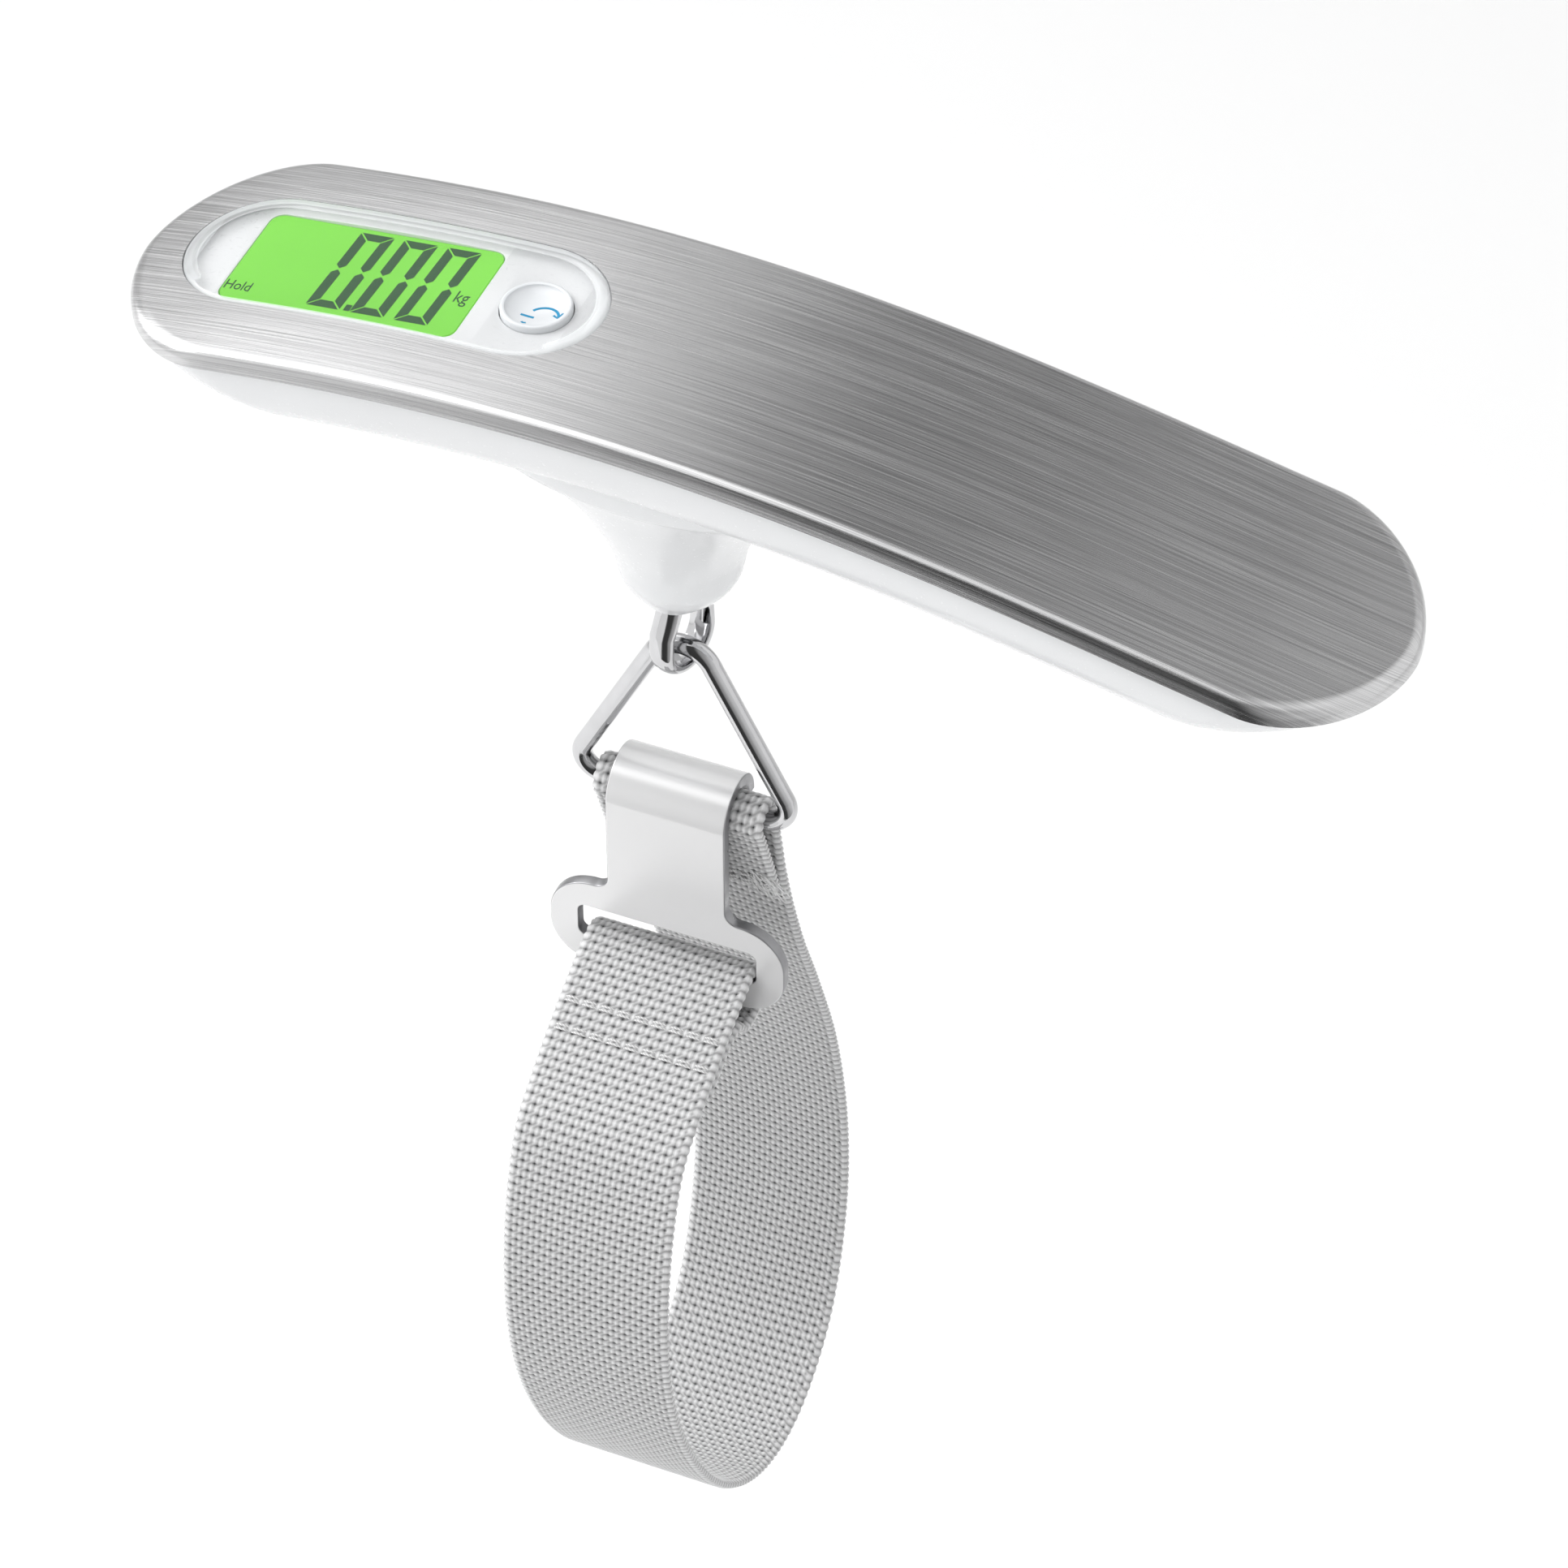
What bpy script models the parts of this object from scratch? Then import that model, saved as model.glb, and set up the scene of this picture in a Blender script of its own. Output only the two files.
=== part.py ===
"""A hand-held luggage scale: arched steel-topped handle, display, load cell, ring, strap hook and webbing loop.

Frame: +X runs along the handle away from the display, -Y faces the side that carries the
strap hook, +Z is up.  X = Y = 0 is the line the load hangs on; Z = 0 is the crown of the handle.
All dimensions below are millimetres.
"""
import math

import bmesh
import bpy
from mathutils import Matrix, Vector

MM = 0.001
GAP = 0.3

# Handle, seen from above, and its arch
HANDLE_MIN_X = -62.0
HANDLE_LENGTH = 144.0
HANDLE_WIDTH = 34.8
END_LENGTH = 14.0
END_POWER = 1.8
ARCH_RADIUS = 226.0
ARCH_FLATTEN = 0.163
ARCH_REACH = 72.0
CROWN_X = -11.0

# Steel cover
STEEL = 0.7
STEEL_DEPTH = 2.3
STEEL_ROUND = 1.6

# White lower shell
SHELL_INSET = 0.5
SHELL_TOP = STEEL_DEPTH + GAP
SHELL_DEPTH = 13.0
SHELL_WALL = 1.6
SHELL_FLAT = 3.0
SHELL_POWER = 2.4
SHELL_TAPER = 23.4

# Neck that the load link comes out of
NECK_LEVELS = (
    (-7.0, 25.6, 14.4), (-12.2, 24.6, 13.8), (-13.2, 21.6, 13.2), (-14.4, 18.4, 12.6), (-16.2, 15.2, 11.8),
    (-18.6, 12.4, 10.8), (-21.4, 10.2, 9.7), (-24.4, 8.5, 8.5), (-27.2, 7.4, 7.5), (-29.4, 7.0, 7.1),
    (-30.8, 6.6, 6.7), (-32.0, 5.9, 6.0), (-33.0, 4.9, 5.2), (-33.7, 3.9, 4.7),
)
NECK_BORE = (
    (-5.0, 16.0, 11.4), (-12.3, 15.6, 10.8), (-14.4, 14.2, 10.0), (-16.6, 12.0, 9.1), (-19.0, 9.8, 8.3),
    (-21.8, 7.9, 7.4), (-24.8, 6.4, 6.5), (-27.4, 5.5, 5.8), (-29.4, 5.1, 5.4), (-30.6, 4.7, 5.0),
)
NECK_SLOT = (2.9, 4.1)

# Display window and its parts
DISPLAY_Y = 0.7
WINDOW_X = -32.8
WINDOW_HALF = 24.2
WINDOW_RADIUS = 9.2
LENS_THICK = 0.6
BEZEL_TOP = 1.0
BEZEL_BOTTOM = 2.2
BEZEL_BORDER = 0.9
LCD_X = -36.9
LCD_SIZE = (27.6, 14.8)
LCD_TOP = -1.33
BUTTON_X = -16.4
BUTTON_RADIUS = 3.9

# Load cell and link
CELL_X = 15.0
CELL_SIZE = (40.0, 10.0)
CELL_TOP = -5.8
CELL_BOTTOM = -10.3
LINK_THICK = 2.4
PIN_Z = -26.2
PIN_RADIUS = 1.2

# Eye, ring, hook
EYE_WIDTH = 3.0
EYE_THICK = 1.2
EYE_TWIST = 15.0
EYE_RADIUS = 3.8
EYE_Z = -41.2
LEG_Y = 2.5
RING_WIRE = 1.15
RING_APEX_Z = -42.6
RING_BAR_Z = -65.8
RING_HALF = 12.4
RING_APEX_BEND = 3.8
RING_CORNER_BEND = 2.6
HOOK_THICK = 1.5
HOOK_BORE = 2.95
HOOK_X = -0.6
HOOK_NECK = 7.2
HOOK_EAR = 14.4
HOOK_SHOULDER_Z = -79.6
HOOK_BOTTOM_Z = -92.3
SLOT_TOP_Z = -83.3
SLOT_BOTTOM_Z = -88.0
SLOT_HALF = 10.9

# Webbing
WEB_WIDTH = 20.0
WEB_THICK = 1.2

# Coin cell and its bay
CELL_BAY_X = 52.0
COIN_RADIUS = 10.0
COIN_THICK = 3.2
COIN_TOP = -7.4

CASE_SCREWS = ((-37.0, 12.5, 8.0), (-37.0, -12.5, 8.0), (22.0, 12.5, 8.0), (22.0, -12.5, 8.0), (69.4, 0.0, 7.6))


def top_z(x):
    """Height of the handle's top surface."""
    d = x - CROWN_X
    return -d * d / (2 * ARCH_RADIUS) * (1 - ARCH_FLATTEN * (d / ARCH_REACH) ** 2)


def frame_at(x, y=0.0):
    """A frame on the top surface at x, with its Z along the surface's normal."""
    rise = top_z(x + 0.5) - top_z(x - 0.5)
    return Matrix.Translation((x * MM, y * MM, top_z(x) * MM)) @ Matrix.Rotation(-math.atan(rise), 4, "Y")


def material(name, color, rough, metal=0.0, alpha=1.0):
    mat = bpy.data.materials.new(name)
    mat.use_nodes = True
    shader = mat.node_tree.nodes["Principled BSDF"]
    shader.inputs["Base Color"].default_value = (*color, 1.0)
    shader.inputs["Roughness"].default_value = rough
    shader.inputs["Metallic"].default_value = metal
    shader.inputs["Alpha"].default_value = alpha
    return mat


def add(name, bm, finish, smooth=True, angle=35.0, frame=None):
    """Turn a bmesh in millimetres into an object, with its own material."""
    bmesh.ops.remove_doubles(bm, verts=bm.verts, dist=0.002)
    bmesh.ops.scale(bm, vec=(MM, MM, MM), verts=bm.verts)
    bmesh.ops.recalc_face_normals(bm, faces=bm.faces)
    mesh = bpy.data.meshes.new(name)
    bm.to_mesh(mesh)
    bm.free()
    obj = bpy.data.objects.new(name, mesh)
    bpy.context.scene.collection.objects.link(obj)
    mesh.materials.append(material(name, *finish))
    if smooth:
        for poly in mesh.polygons:
            poly.use_smooth = True
        mesh.set_sharp_from_angle(angle=math.radians(angle))
    if frame is not None:
        obj.matrix_world = frame
    return obj


def cutter(bm, frame=None):
    """A hidden solid used to shape another one."""
    obj = add("guide", bm, ((0.5, 0.5, 0.5), 0.5), smooth=False, frame=frame)
    obj.hide_render = True
    obj.display_type = "WIRE"
    return obj


def tidy(obj, split):
    """Weld near-coincident points, then split every face into triangles or merge the flat ones."""
    bm = bmesh.new()
    bm.from_mesh(obj.data)
    bmesh.ops.remove_doubles(bm, verts=bm.verts, dist=0.003 * MM)
    bmesh.ops.dissolve_degenerate(bm, edges=bm.edges, dist=0.002 * MM)
    if split:
        bmesh.ops.triangulate(bm, faces=bm.faces)
    else:
        bmesh.ops.dissolve_limit(bm, angle_limit=math.radians(0.2), verts=bm.verts, edges=bm.edges)
    bm.to_mesh(obj.data)
    bm.free()


def combine(target, tool, operation):
    """Apply one exact Boolean and drop the tool."""
    tidy(target, True)
    tidy(tool, True)
    bpy.context.view_layer.update()
    mod = target.modifiers.new(operation.lower(), "BOOLEAN")
    mod.operation = operation
    mod.solver = "EXACT"
    mod.object = tool
    graph = bpy.context.evaluated_depsgraph_get()
    mesh = bpy.data.meshes.new_from_object(target.evaluated_get(graph))
    target.modifiers.clear()
    old = target.data
    target.data = mesh
    mesh.name = target.name
    bpy.data.meshes.remove(old)
    bpy.data.objects.remove(tool)
    tidy(target, False)


def smooth(obj, angle=35.0):
    for poly in obj.data.polygons:
        poly.use_smooth = True
    obj.data.set_sharp_from_angle(angle=math.radians(angle))


def handle_loop(inset_y, inset_x, half_y=None, end_steps=11, side_steps=15):
    """The handle's outline from the right tip round to it again; entry i mirrors entry n - i."""
    mid = HANDLE_MIN_X + HANDLE_LENGTH / 2
    hx = HANDLE_LENGTH / 2 - inset_x - END_LENGTH
    hy = (HANDLE_WIDTH / 2 if half_y is None else half_y) - inset_y
    power = 2 / END_POWER
    upper = []
    for i in range(end_steps):
        a = math.pi / 2 * i / end_steps
        upper.append((mid + hx + END_LENGTH * math.cos(a) ** power, hy * math.sin(a) ** power))
    for i in range(side_steps + 1):
        upper.append((mid + hx - 2 * hx * i / side_steps, hy))
    for i in range(end_steps - 1, -1, -1):
        a = math.pi / 2 * i / end_steps
        upper.append((mid - hx - END_LENGTH * math.cos(a) ** power, hy * math.sin(a) ** power))
    return upper + [(x, -y) for x, y in reversed(upper[1:-1])]


def stadium_loop(mid, half, radius, steps=10, side_steps=8):
    """The display's round-ended outline, with the same ordering as handle_loop."""
    upper = []
    for i in range(steps):
        a = math.pi / 2 * i / steps
        upper.append((mid + half - radius + radius * math.cos(a), radius * math.sin(a)))
    for i in range(side_steps + 1):
        upper.append((mid + (half - radius) * (1 - 2 * i / side_steps), radius))
    for i in range(steps - 1, -1, -1):
        a = math.pi / 2 * i / steps
        upper.append((mid - half + radius - radius * math.cos(a), radius * math.sin(a)))
    line = upper + [(x, -y) for x, y in reversed(upper[1:-1])]
    return [(x, y + DISPLAY_Y) for x, y in line]


def loft(loops):
    """Skin closed loops in order; the first and last are closed with strips across Y."""
    bm = bmesh.new()
    rows = [[bm.verts.new(p) for p in loop] for loop in loops]
    n = len(rows[0])
    for low, high in zip(rows, rows[1:]):
        for i in range(n):
            j = (i + 1) % n
            bm.faces.new((low[i], low[j], high[j], high[i]))
    for row in (rows[0], rows[-1]):
        for i in range(n // 2):
            quad = [row[i], row[i + 1], row[(n - i - 1) % n], row[(n - i) % n]]
            unique = list(dict.fromkeys(quad))
            bm.faces.new(unique)
    return bm


def draped(outline, depth):
    """An outline laid a given depth below the handle's top surface."""
    return [(x, y, top_z(x) - depth) for x, y in outline]


def block(size, low, high, x=0.0, y=0.0):
    """A box of plan size, between two heights."""
    bm = bmesh.new()
    bmesh.ops.create_cube(bm, size=1.0)
    mid = Vector((x, y, (low + high) / 2))
    for v in bm.verts:
        v.co = Vector((v.co.x * size[0], v.co.y * size[1], v.co.z * (high - low))) + mid
    return bm


def turned(profile, steps=40):
    """Spin a profile of (radius, height) about Z; a zero radius closes an end."""
    bm = bmesh.new()
    rows = []
    for radius, height in profile:
        if radius < 1e-6:
            rows.append([bm.verts.new((0, 0, height))])
            continue
        ring = []
        for i in range(steps):
            a = 2 * math.pi * (i + 0.37) / steps
            ring.append(bm.verts.new((radius * math.cos(a), radius * math.sin(a), height)))
        rows.append(ring)
    pairs = list(zip(rows, rows[1:]))
    if len(rows[0]) > 1:
        pairs.append((rows[-1], rows[0]))
    for low, high in pairs:
        for i in range(steps):
            j = (i + 1) % steps
            if len(low) == 1:
                bm.faces.new((low[0], high[j], high[i]))
            elif len(high) == 1:
                bm.faces.new((low[i], low[j], high[0]))
            else:
                bm.faces.new((low[i], low[j], high[j], high[i]))
    return bm


def rod(radius, low, high, steps=24):
    return turned(((0, low), (radius, low), (radius, high), (0, high)), steps)


def moved(bm, x=0.0, y=0.0, z=0.0, turn=None):
    if turn is not None:
        bmesh.ops.rotate(bm, verts=bm.verts, cent=(0, 0, 0), matrix=Matrix.Rotation(*turn))
    bmesh.ops.translate(bm, verts=bm.verts, vec=(x, y, z))
    return bm


def extruded(points, low, high, axis):
    """Push a 2-D outline along X or Y; point i faces point n - 1 - i across the outline."""
    bm = bmesh.new()
    rows = []
    for level in (low, high):
        if axis == "X":
            rows.append([bm.verts.new((level, a, b)) for a, b in points])
        else:
            rows.append([bm.verts.new((a, level, b)) for a, b in points])
    n = len(points)
    for i in range(n):
        j = (i + 1) % n
        bm.faces.new((rows[0][i], rows[0][j], rows[1][j], rows[1][i]))
    for row in rows:
        for i in range(n // 2 - 1):
            bm.faces.new((row[i], row[i + 1], row[n - 2 - i], row[n - 1 - i]))
    return bm


def mirrored(right):
    """A closed outline from its right half, listed top to bottom."""
    return right + [(-x, z) for x, z in reversed(right)]


def catmull(points, steps):
    """A smooth line through the points."""
    line = []
    ends = [points[0]] + list(points) + [points[-1]]
    for a, b, c, d in zip(ends, ends[1:], ends[2:], ends[3:]):
        for i in range(steps):
            t = i / steps
            line.append(tuple(
                0.5 * (2 * q + (r - p) * t + (2 * p - 5 * q + 4 * r - s) * t * t
                       + (3 * q - p - 3 * r + s) * t ** 3)
                for p, q, r, s in zip(a, b, c, d)
            ))
    line.append(points[-1])
    return line


def ribbon(path, thick):
    """The outline of a flat band that follows a (Y, Z) path."""
    left, right = [], []
    for i, (y, z) in enumerate(path):
        before = path[max(i - 1, 0)]
        after = path[min(i + 1, len(path) - 1)]
        dy, dz = after[0] - before[0], after[1] - before[1]
        size = math.hypot(dy, dz)
        ny, nz = -dz / size * thick / 2, dy / size * thick / 2
        left.append((y + ny, z + nz))
        right.append((y - ny, z - nz))
    return left + right[::-1]


def swept(path, section):
    """Carry a section of (X, offset to the path's left) points along a (Y, Z) path."""
    bm = bmesh.new()
    rows = []
    for i, (y, z) in enumerate(path):
        before = path[max(i - 1, 0)]
        after = path[min(i + 1, len(path) - 1)]
        dy, dz = after[0] - before[0], after[1] - before[1]
        size = math.hypot(dy, dz)
        rows.append([bm.verts.new((x, y - dz / size * n, z + dy / size * n)) for x, n in section])
    count = len(section)
    for low, high in zip(rows, rows[1:]):
        for k in range(count):
            j = (k + 1) % count
            bm.faces.new((low[k], low[j], high[j], high[k]))
    bm.faces.new(rows[0])
    bm.faces.new(rows[-1])
    return bm


def arc(cy, cz, radius, start, end, steps):
    """Points on an arc, angles in degrees."""
    out = []
    for i in range(steps + 1):
        a = math.radians(start + (end - start) * i / steps)
        out.append((cy + radius * math.cos(a), cz + radius * math.sin(a)))
    return out


def wire(path, radius, steps=10, closed=False):
    """A round wire along a 3-D path, its sections kept square to the path."""
    bm = bmesh.new()
    rows = []
    count = len(path)
    side = None
    for i, p in enumerate(path):
        before = path[i - 1] if closed or i else path[0]
        after = path[(i + 1) % count] if closed or i < count - 1 else path[-1]
        along = (Vector(after) - Vector(before)).normalized()
        if side is None:
            side = along.orthogonal().normalized()
        side = (side - along * side.dot(along)).normalized()
        other = along.cross(side)
        ring = []
        for k in range(steps):
            a = 2 * math.pi * k / steps
            ring.append(bm.verts.new(Vector(p) + (side * math.cos(a) + other * math.sin(a)) * radius))
        rows.append(ring)
    pairs = list(zip(rows, rows[1:]))
    if closed:
        pairs.append((rows[-1], rows[0]))
    for low, high in pairs:
        for k in range(steps):
            j = (k + 1) % steps
            bm.faces.new((low[k], low[j], high[j], high[k]))
    if not closed:
        bm.faces.new(rows[0])
        bm.faces.new(rows[-1])
    return bm


for old in list(bpy.data.objects):
    bpy.data.objects.remove(old, do_unlink=True)

WHITE_GLOSS = ((0.86, 0.87, 0.88), 0.25)
BRUSHED = ((0.62, 0.62, 0.63), 0.32, 1.0)
CHROME = ((0.8, 0.8, 0.81), 0.08, 1.0)
SPRING_STEEL = ((0.6, 0.6, 0.58), 0.3, 1.0)
NICKEL = ((0.7, 0.68, 0.62), 0.3, 1.0)
ALUMINIUM = ((0.75, 0.76, 0.78), 0.35, 1.0)
WEBBING = ((0.62, 0.62, 0.62), 0.9)
ZINC = ((0.5, 0.51, 0.53), 0.35, 1.0)

# ---------------------------------------------------------------- steel cover
loops = []
for step in range(5):
    a = math.pi / 2 * step / 4
    inset = STEEL_ROUND * (1 - math.sin(a))
    loops.append(draped(handle_loop(inset, inset), STEEL_ROUND * (1 - math.cos(a))))
loops.append(draped(handle_loop(0, 0), STEEL_DEPTH))
loops.append(draped(handle_loop(STEEL, STEEL), STEEL_DEPTH))
for step in range(3, -1, -1):
    a = math.pi / 2 * step / 3
    inner = STEEL_ROUND - STEEL
    inset = STEEL + inner * (1 - math.sin(a))
    loops.append(draped(handle_loop(inset, inset), STEEL + inner * (1 - math.cos(a))))
steel_cover = add("steel_cover", loft(loops), BRUSHED)
window = stadium_loop(WINDOW_X, WINDOW_HALF, WINDOW_RADIUS, 12)
combine(steel_cover, cutter(loft([draped(window, -2.0), draped(window, 2.0)])), "DIFFERENCE")
smooth(steel_cover)

# ---------------------------------------------------------------- upper frame inside the cover
rim = STEEL + GAP
upper_frame = add(
    "upper_frame",
    loft([draped(handle_loop(rim, rim), rim), draped(handle_loop(rim, rim), STEEL_DEPTH)]),
    WHITE_GLOSS,
)
for x, y, _ in CASE_SCREWS:
    post = moved(rod(2.4, top_z(x) - 5.6, top_z(x) - 1.6), x, y)
    combine(upper_frame, cutter(post), "UNION")
    hole = moved(rod(1.25, top_z(x) - 7.0, top_z(x) - 2.4, 16), x, y)
    combine(upper_frame, cutter(hole), "DIFFERENCE")
pocket = stadium_loop(WINDOW_X, WINDOW_HALF + BEZEL_BORDER + GAP, WINDOW_RADIUS + BEZEL_BORDER + GAP, 12)
combine(upper_frame, cutter(loft([draped(pocket, -1.0), draped(pocket, 2.6)])), "DIFFERENCE")
smooth(upper_frame)

# ---------------------------------------------------------------- display
lcd_frame = frame_at(LCD_X, DISPLAY_Y)
button_frame = frame_at(BUTTON_X, DISPLAY_Y)

lens_outline = stadium_loop(WINDOW_X, WINDOW_HALF - GAP, WINDOW_RADIUS - GAP, 12)
lens_edge = stadium_loop(WINDOW_X, WINDOW_HALF - GAP - 0.35, WINDOW_RADIUS - GAP - 0.35, 12)
lens = add(
    "display_lens",
    loft([draped(lens_edge, -0.25), draped(lens_outline, 0.05), draped(lens_outline, LENS_THICK)]),
    ((0.95, 0.97, 0.97), 0.05, 0.0, 0.25),
)
combine(lens, cutter(rod(BUTTON_RADIUS + 0.35, -4, 4, 40), button_frame), "DIFFERENCE")
smooth(lens)

bezel_outline = stadium_loop(WINDOW_X, WINDOW_HALF + BEZEL_BORDER, WINDOW_RADIUS + BEZEL_BORDER, 12)
bezel = add(
    "display_bezel",
    loft([draped(bezel_outline, BEZEL_TOP), draped(bezel_outline, BEZEL_BOTTOM)]),
    WHITE_GLOSS,
)
lcd_hole = (LCD_SIZE[0] + 2 * GAP, LCD_SIZE[1] + 2 * GAP)
combine(bezel, cutter(block(lcd_hole, -6, 2), lcd_frame), "DIFFERENCE")
combine(bezel, cutter(rod(BUTTON_RADIUS + 0.35, -6, 4, 40), button_frame), "DIFFERENCE")
smooth(bezel)

add("lcd_glass", block(LCD_SIZE, LCD_TOP - 1.7, LCD_TOP), ((0.33, 0.85, 0.2), 0.15), False, frame=lcd_frame)
add("backlight_guide", block((27.6, 11.0), -4.9, -3.35, 0, 1.4), ((0.8, 0.95, 0.75), 0.3), False,
    frame=lcd_frame)
add("zebra_strip", block((24.0, 1.4), -6.0, -3.35, 0, -6.1), ((0.45, 0.35, 0.4), 0.7), False,
    frame=lcd_frame)
for name, y in (("backlight_led_1", -1.6), ("backlight_led_2", 4.4)):
    add(name, block((1.2, 2.4), -5.95, -3.6, 14.8, y), ((0.9, 0.9, 0.82), 0.3), False, frame=lcd_frame)

# ---------------------------------------------------------------- circuit board
board = add("circuit_board", block((37.0, 17.2), -7.3, -6.3, 8.5, 0), ((0.05, 0.28, 0.12), 0.45), False,
            frame=lcd_frame)
for x, y in ((-8.0, 0.0), (25.0, 0.0)):
    combine(board, cutter(moved(rod(1.25, -9, -5, 16), x, y), lcd_frame), "DIFFERENCE")
    screw = turned(((0, -8.7), (1.9, -8.7), (1.9, -7.6), (0.9, -7.6), (0.9, -5.4), (0, -5.2)), 20)
    name = "board_screw_1" if x < 0 else "board_screw_2"
    add(name, moved(screw, x, y), ZINC, frame=lcd_frame)
dome = turned(((0, -9.0), (1.6, -8.85), (3.2, -8.3), (4.0, -7.6), (0, -7.6)), 24)
add("controller_chip", moved(dome, 6.0, 4.5), ((0.02, 0.02, 0.02), 0.3), frame=lcd_frame)
add("adc_chip", block((5.0, 4.0), -8.9, -7.6, 14.5, -4.5), ((0.03, 0.03, 0.03), 0.5), False,
    frame=lcd_frame)
crystal = turned(((0, 0), (1.0, 0), (1.0, 5.4), (0.8, 5.7), (0, 5.7)), 16)
add("crystal", moved(crystal, 15.5, 4.0, -8.7, (math.pi / 2, 4, "Y")), NICKEL, frame=lcd_frame)

# ---------------------------------------------------------------- button and its switch
cap = turned((
    (0, -1.15), (1.4, -1.08), (2.6, -0.82), (3.35, -0.42), (3.65, -0.3), (BUTTON_RADIUS, -0.5),
    (BUTTON_RADIUS, -2.5), (4.6, -2.5), (4.6, -2.9), (0, -2.9),
), 40)
add("button_cap", cap, ((0.9, 0.92, 0.93), 0.12), frame=button_frame)
switch = add("switch_body", block((5.2, 5.2), -5.1, -3.7), ((0.1, 0.1, 0.11), 0.5), False,
             frame=button_frame)
combine(switch, cutter(rod(1.3, -4.8, -3.0), button_frame), "DIFFERENCE")
add("switch_plunger", rod(1.0, -4.0, -3.25), ((0.55, 0.1, 0.08), 0.5), frame=button_frame)

# ---------------------------------------------------------------- load cell, link and pin
cell_frame = frame_at(CELL_X)
link_slot = (8.4, LINK_THICK + 1.0)
link_x = 1.0 - CELL_X
load_cell = add("load_cell", block(CELL_SIZE, CELL_BOTTOM, CELL_TOP), ALUMINIUM, angle=30,
                frame=cell_frame)
for x in (-3.5, 3.5):
    hole = moved(rod(1.6, -6, 6, 24), x, 0, (CELL_TOP + CELL_BOTTOM) / 2, (math.pi / 2, 4, "X"))
    combine(load_cell, cutter(hole, cell_frame), "DIFFERENCE")
waist = block((7.0, 12.0), -8.5, -7.6)
combine(load_cell, cutter(waist, cell_frame), "DIFFERENCE")
combine(load_cell, cutter(block(link_slot, -14, -2, link_x), cell_frame), "DIFFERENCE")
for x in (12.0, 17.0):
    combine(load_cell, cutter(moved(rod(1.6, -14, -2, 20), x), cell_frame), "DIFFERENCE")
smooth(load_cell, 30)

plate = add("load_plate", block((20.0, 18.0), -5.5, -4.1, 12.0), SPRING_STEEL, frame=cell_frame, angle=30)
for x in (12.0, 17.0):
    combine(plate, cutter(moved(rod(1.6, -7, -2, 20), x), cell_frame), "DIFFERENCE")
smooth(plate, 30)
for name, x in (("cell_screw_1", 12.0), ("cell_screw_2", 17.0)):
    screw = turned(((0, -11.2), (2.2, -11.2), (2.2, -10.6), (1.3, -10.6), (1.3, -3.9), (0, -3.7)), 24)
    add(name, moved(screw, x), ZINC, frame=cell_frame)
add("strain_gauge", block((7.0, 9.0), CELL_TOP + 0.3, CELL_TOP + 0.55, -4.5), ((0.75, 0.5, 0.2), 0.5),
    False, frame=cell_frame)

link_half = [(6.3, -3.4), (6.3, -4.5), (3.2, -4.7), (3.2, -27.6), (2.2, -29.2)]
link = add("load_link", extruded(mirrored(link_half), -LINK_THICK / 2, LINK_THICK / 2, "Y"), SPRING_STEEL, angle=30)
pin_hole = moved(rod(PIN_RADIUS + GAP, -4, 4, 20), 0, 0, PIN_Z, (math.pi / 2, 4, "X"))
combine(link, cutter(pin_hole), "DIFFERENCE")
smooth(link, 30)
pin = turned((
    (0, -4.9), (0.9, -4.9), (PIN_RADIUS, -4.6), (PIN_RADIUS, 4.6), (0.9, 4.9), (0, 4.9),
), 20)
add("hook_pin", moved(pin, 0, 0, PIN_Z, (math.pi / 2, 4, "X")), NICKEL)

# ---------------------------------------------------------------- lower shell and neck


def shell_loops(shrink):
    """Hull loops from the parting line to the bottom; shrink moves every wall inwards."""
    out = []
    for step in range(9):
        a = math.pi / 2 * step / 8
        half = HANDLE_WIDTH / 2 - SHELL_INSET - shrink - SHELL_FLAT
        half_y = SHELL_FLAT + half * math.cos(a) ** (2 / SHELL_POWER)
        inset_x = SHELL_INSET + shrink + SHELL_TAPER * math.sin(a / 2) ** 0.9
        depth = SHELL_TOP + (SHELL_DEPTH - shrink - SHELL_TOP) * math.sin(a) ** (2 / SHELL_POWER)
        out.append(draped(handle_loop(0, inset_x, half_y), depth))
    return out


def ellipse(z, rx, ry, steps=36):
    return [(rx * math.cos(2 * math.pi * i / steps), ry * math.sin(2 * math.pi * i / steps), z)
            for i in range(steps)]


shell = add("lower_shell", loft(shell_loops(0)), WHITE_GLOSS)
combine(shell, cutter(loft([ellipse(*level) for level in NECK_LEVELS])), "UNION")
bay_frame = frame_at(CELL_BAY_X)
inside = shell_loops(SHELL_WALL)
inside.insert(0, [(x, y, z + 4) for x, y, z in inside[0]])
hollow = cutter(loft(inside))
combine(hollow, cutter(rod(COIN_RADIUS + 2.6, -18.0, -8.8, 48), bay_frame), "DIFFERENCE")
for x, y, _ in CASE_SCREWS:
    combine(hollow, cutter(moved(rod(2.8, top_z(x) - 18.0, top_z(x) - 5.9), x, y)), "DIFFERENCE")
combine(shell, hollow, "DIFFERENCE")
combine(shell, cutter(loft([ellipse(*level) for level in NECK_BORE])), "DIFFERENCE")
slot_x, slot_y = NECK_SLOT
slot = ((slot_x, slot_y - 0.9), (slot_x - 0.9, slot_y), (0.9 - slot_x, slot_y), (-slot_x, slot_y - 0.9),
        (-slot_x, 0.9 - slot_y), (0.9 - slot_x, -slot_y), (slot_x - 0.9, -slot_y), (slot_x, 0.9 - slot_y))
combine(shell, cutter(loft([[(x, y, z) for x, y in slot] for z in (-28.0, -40.0)])), "DIFFERENCE")

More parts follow.
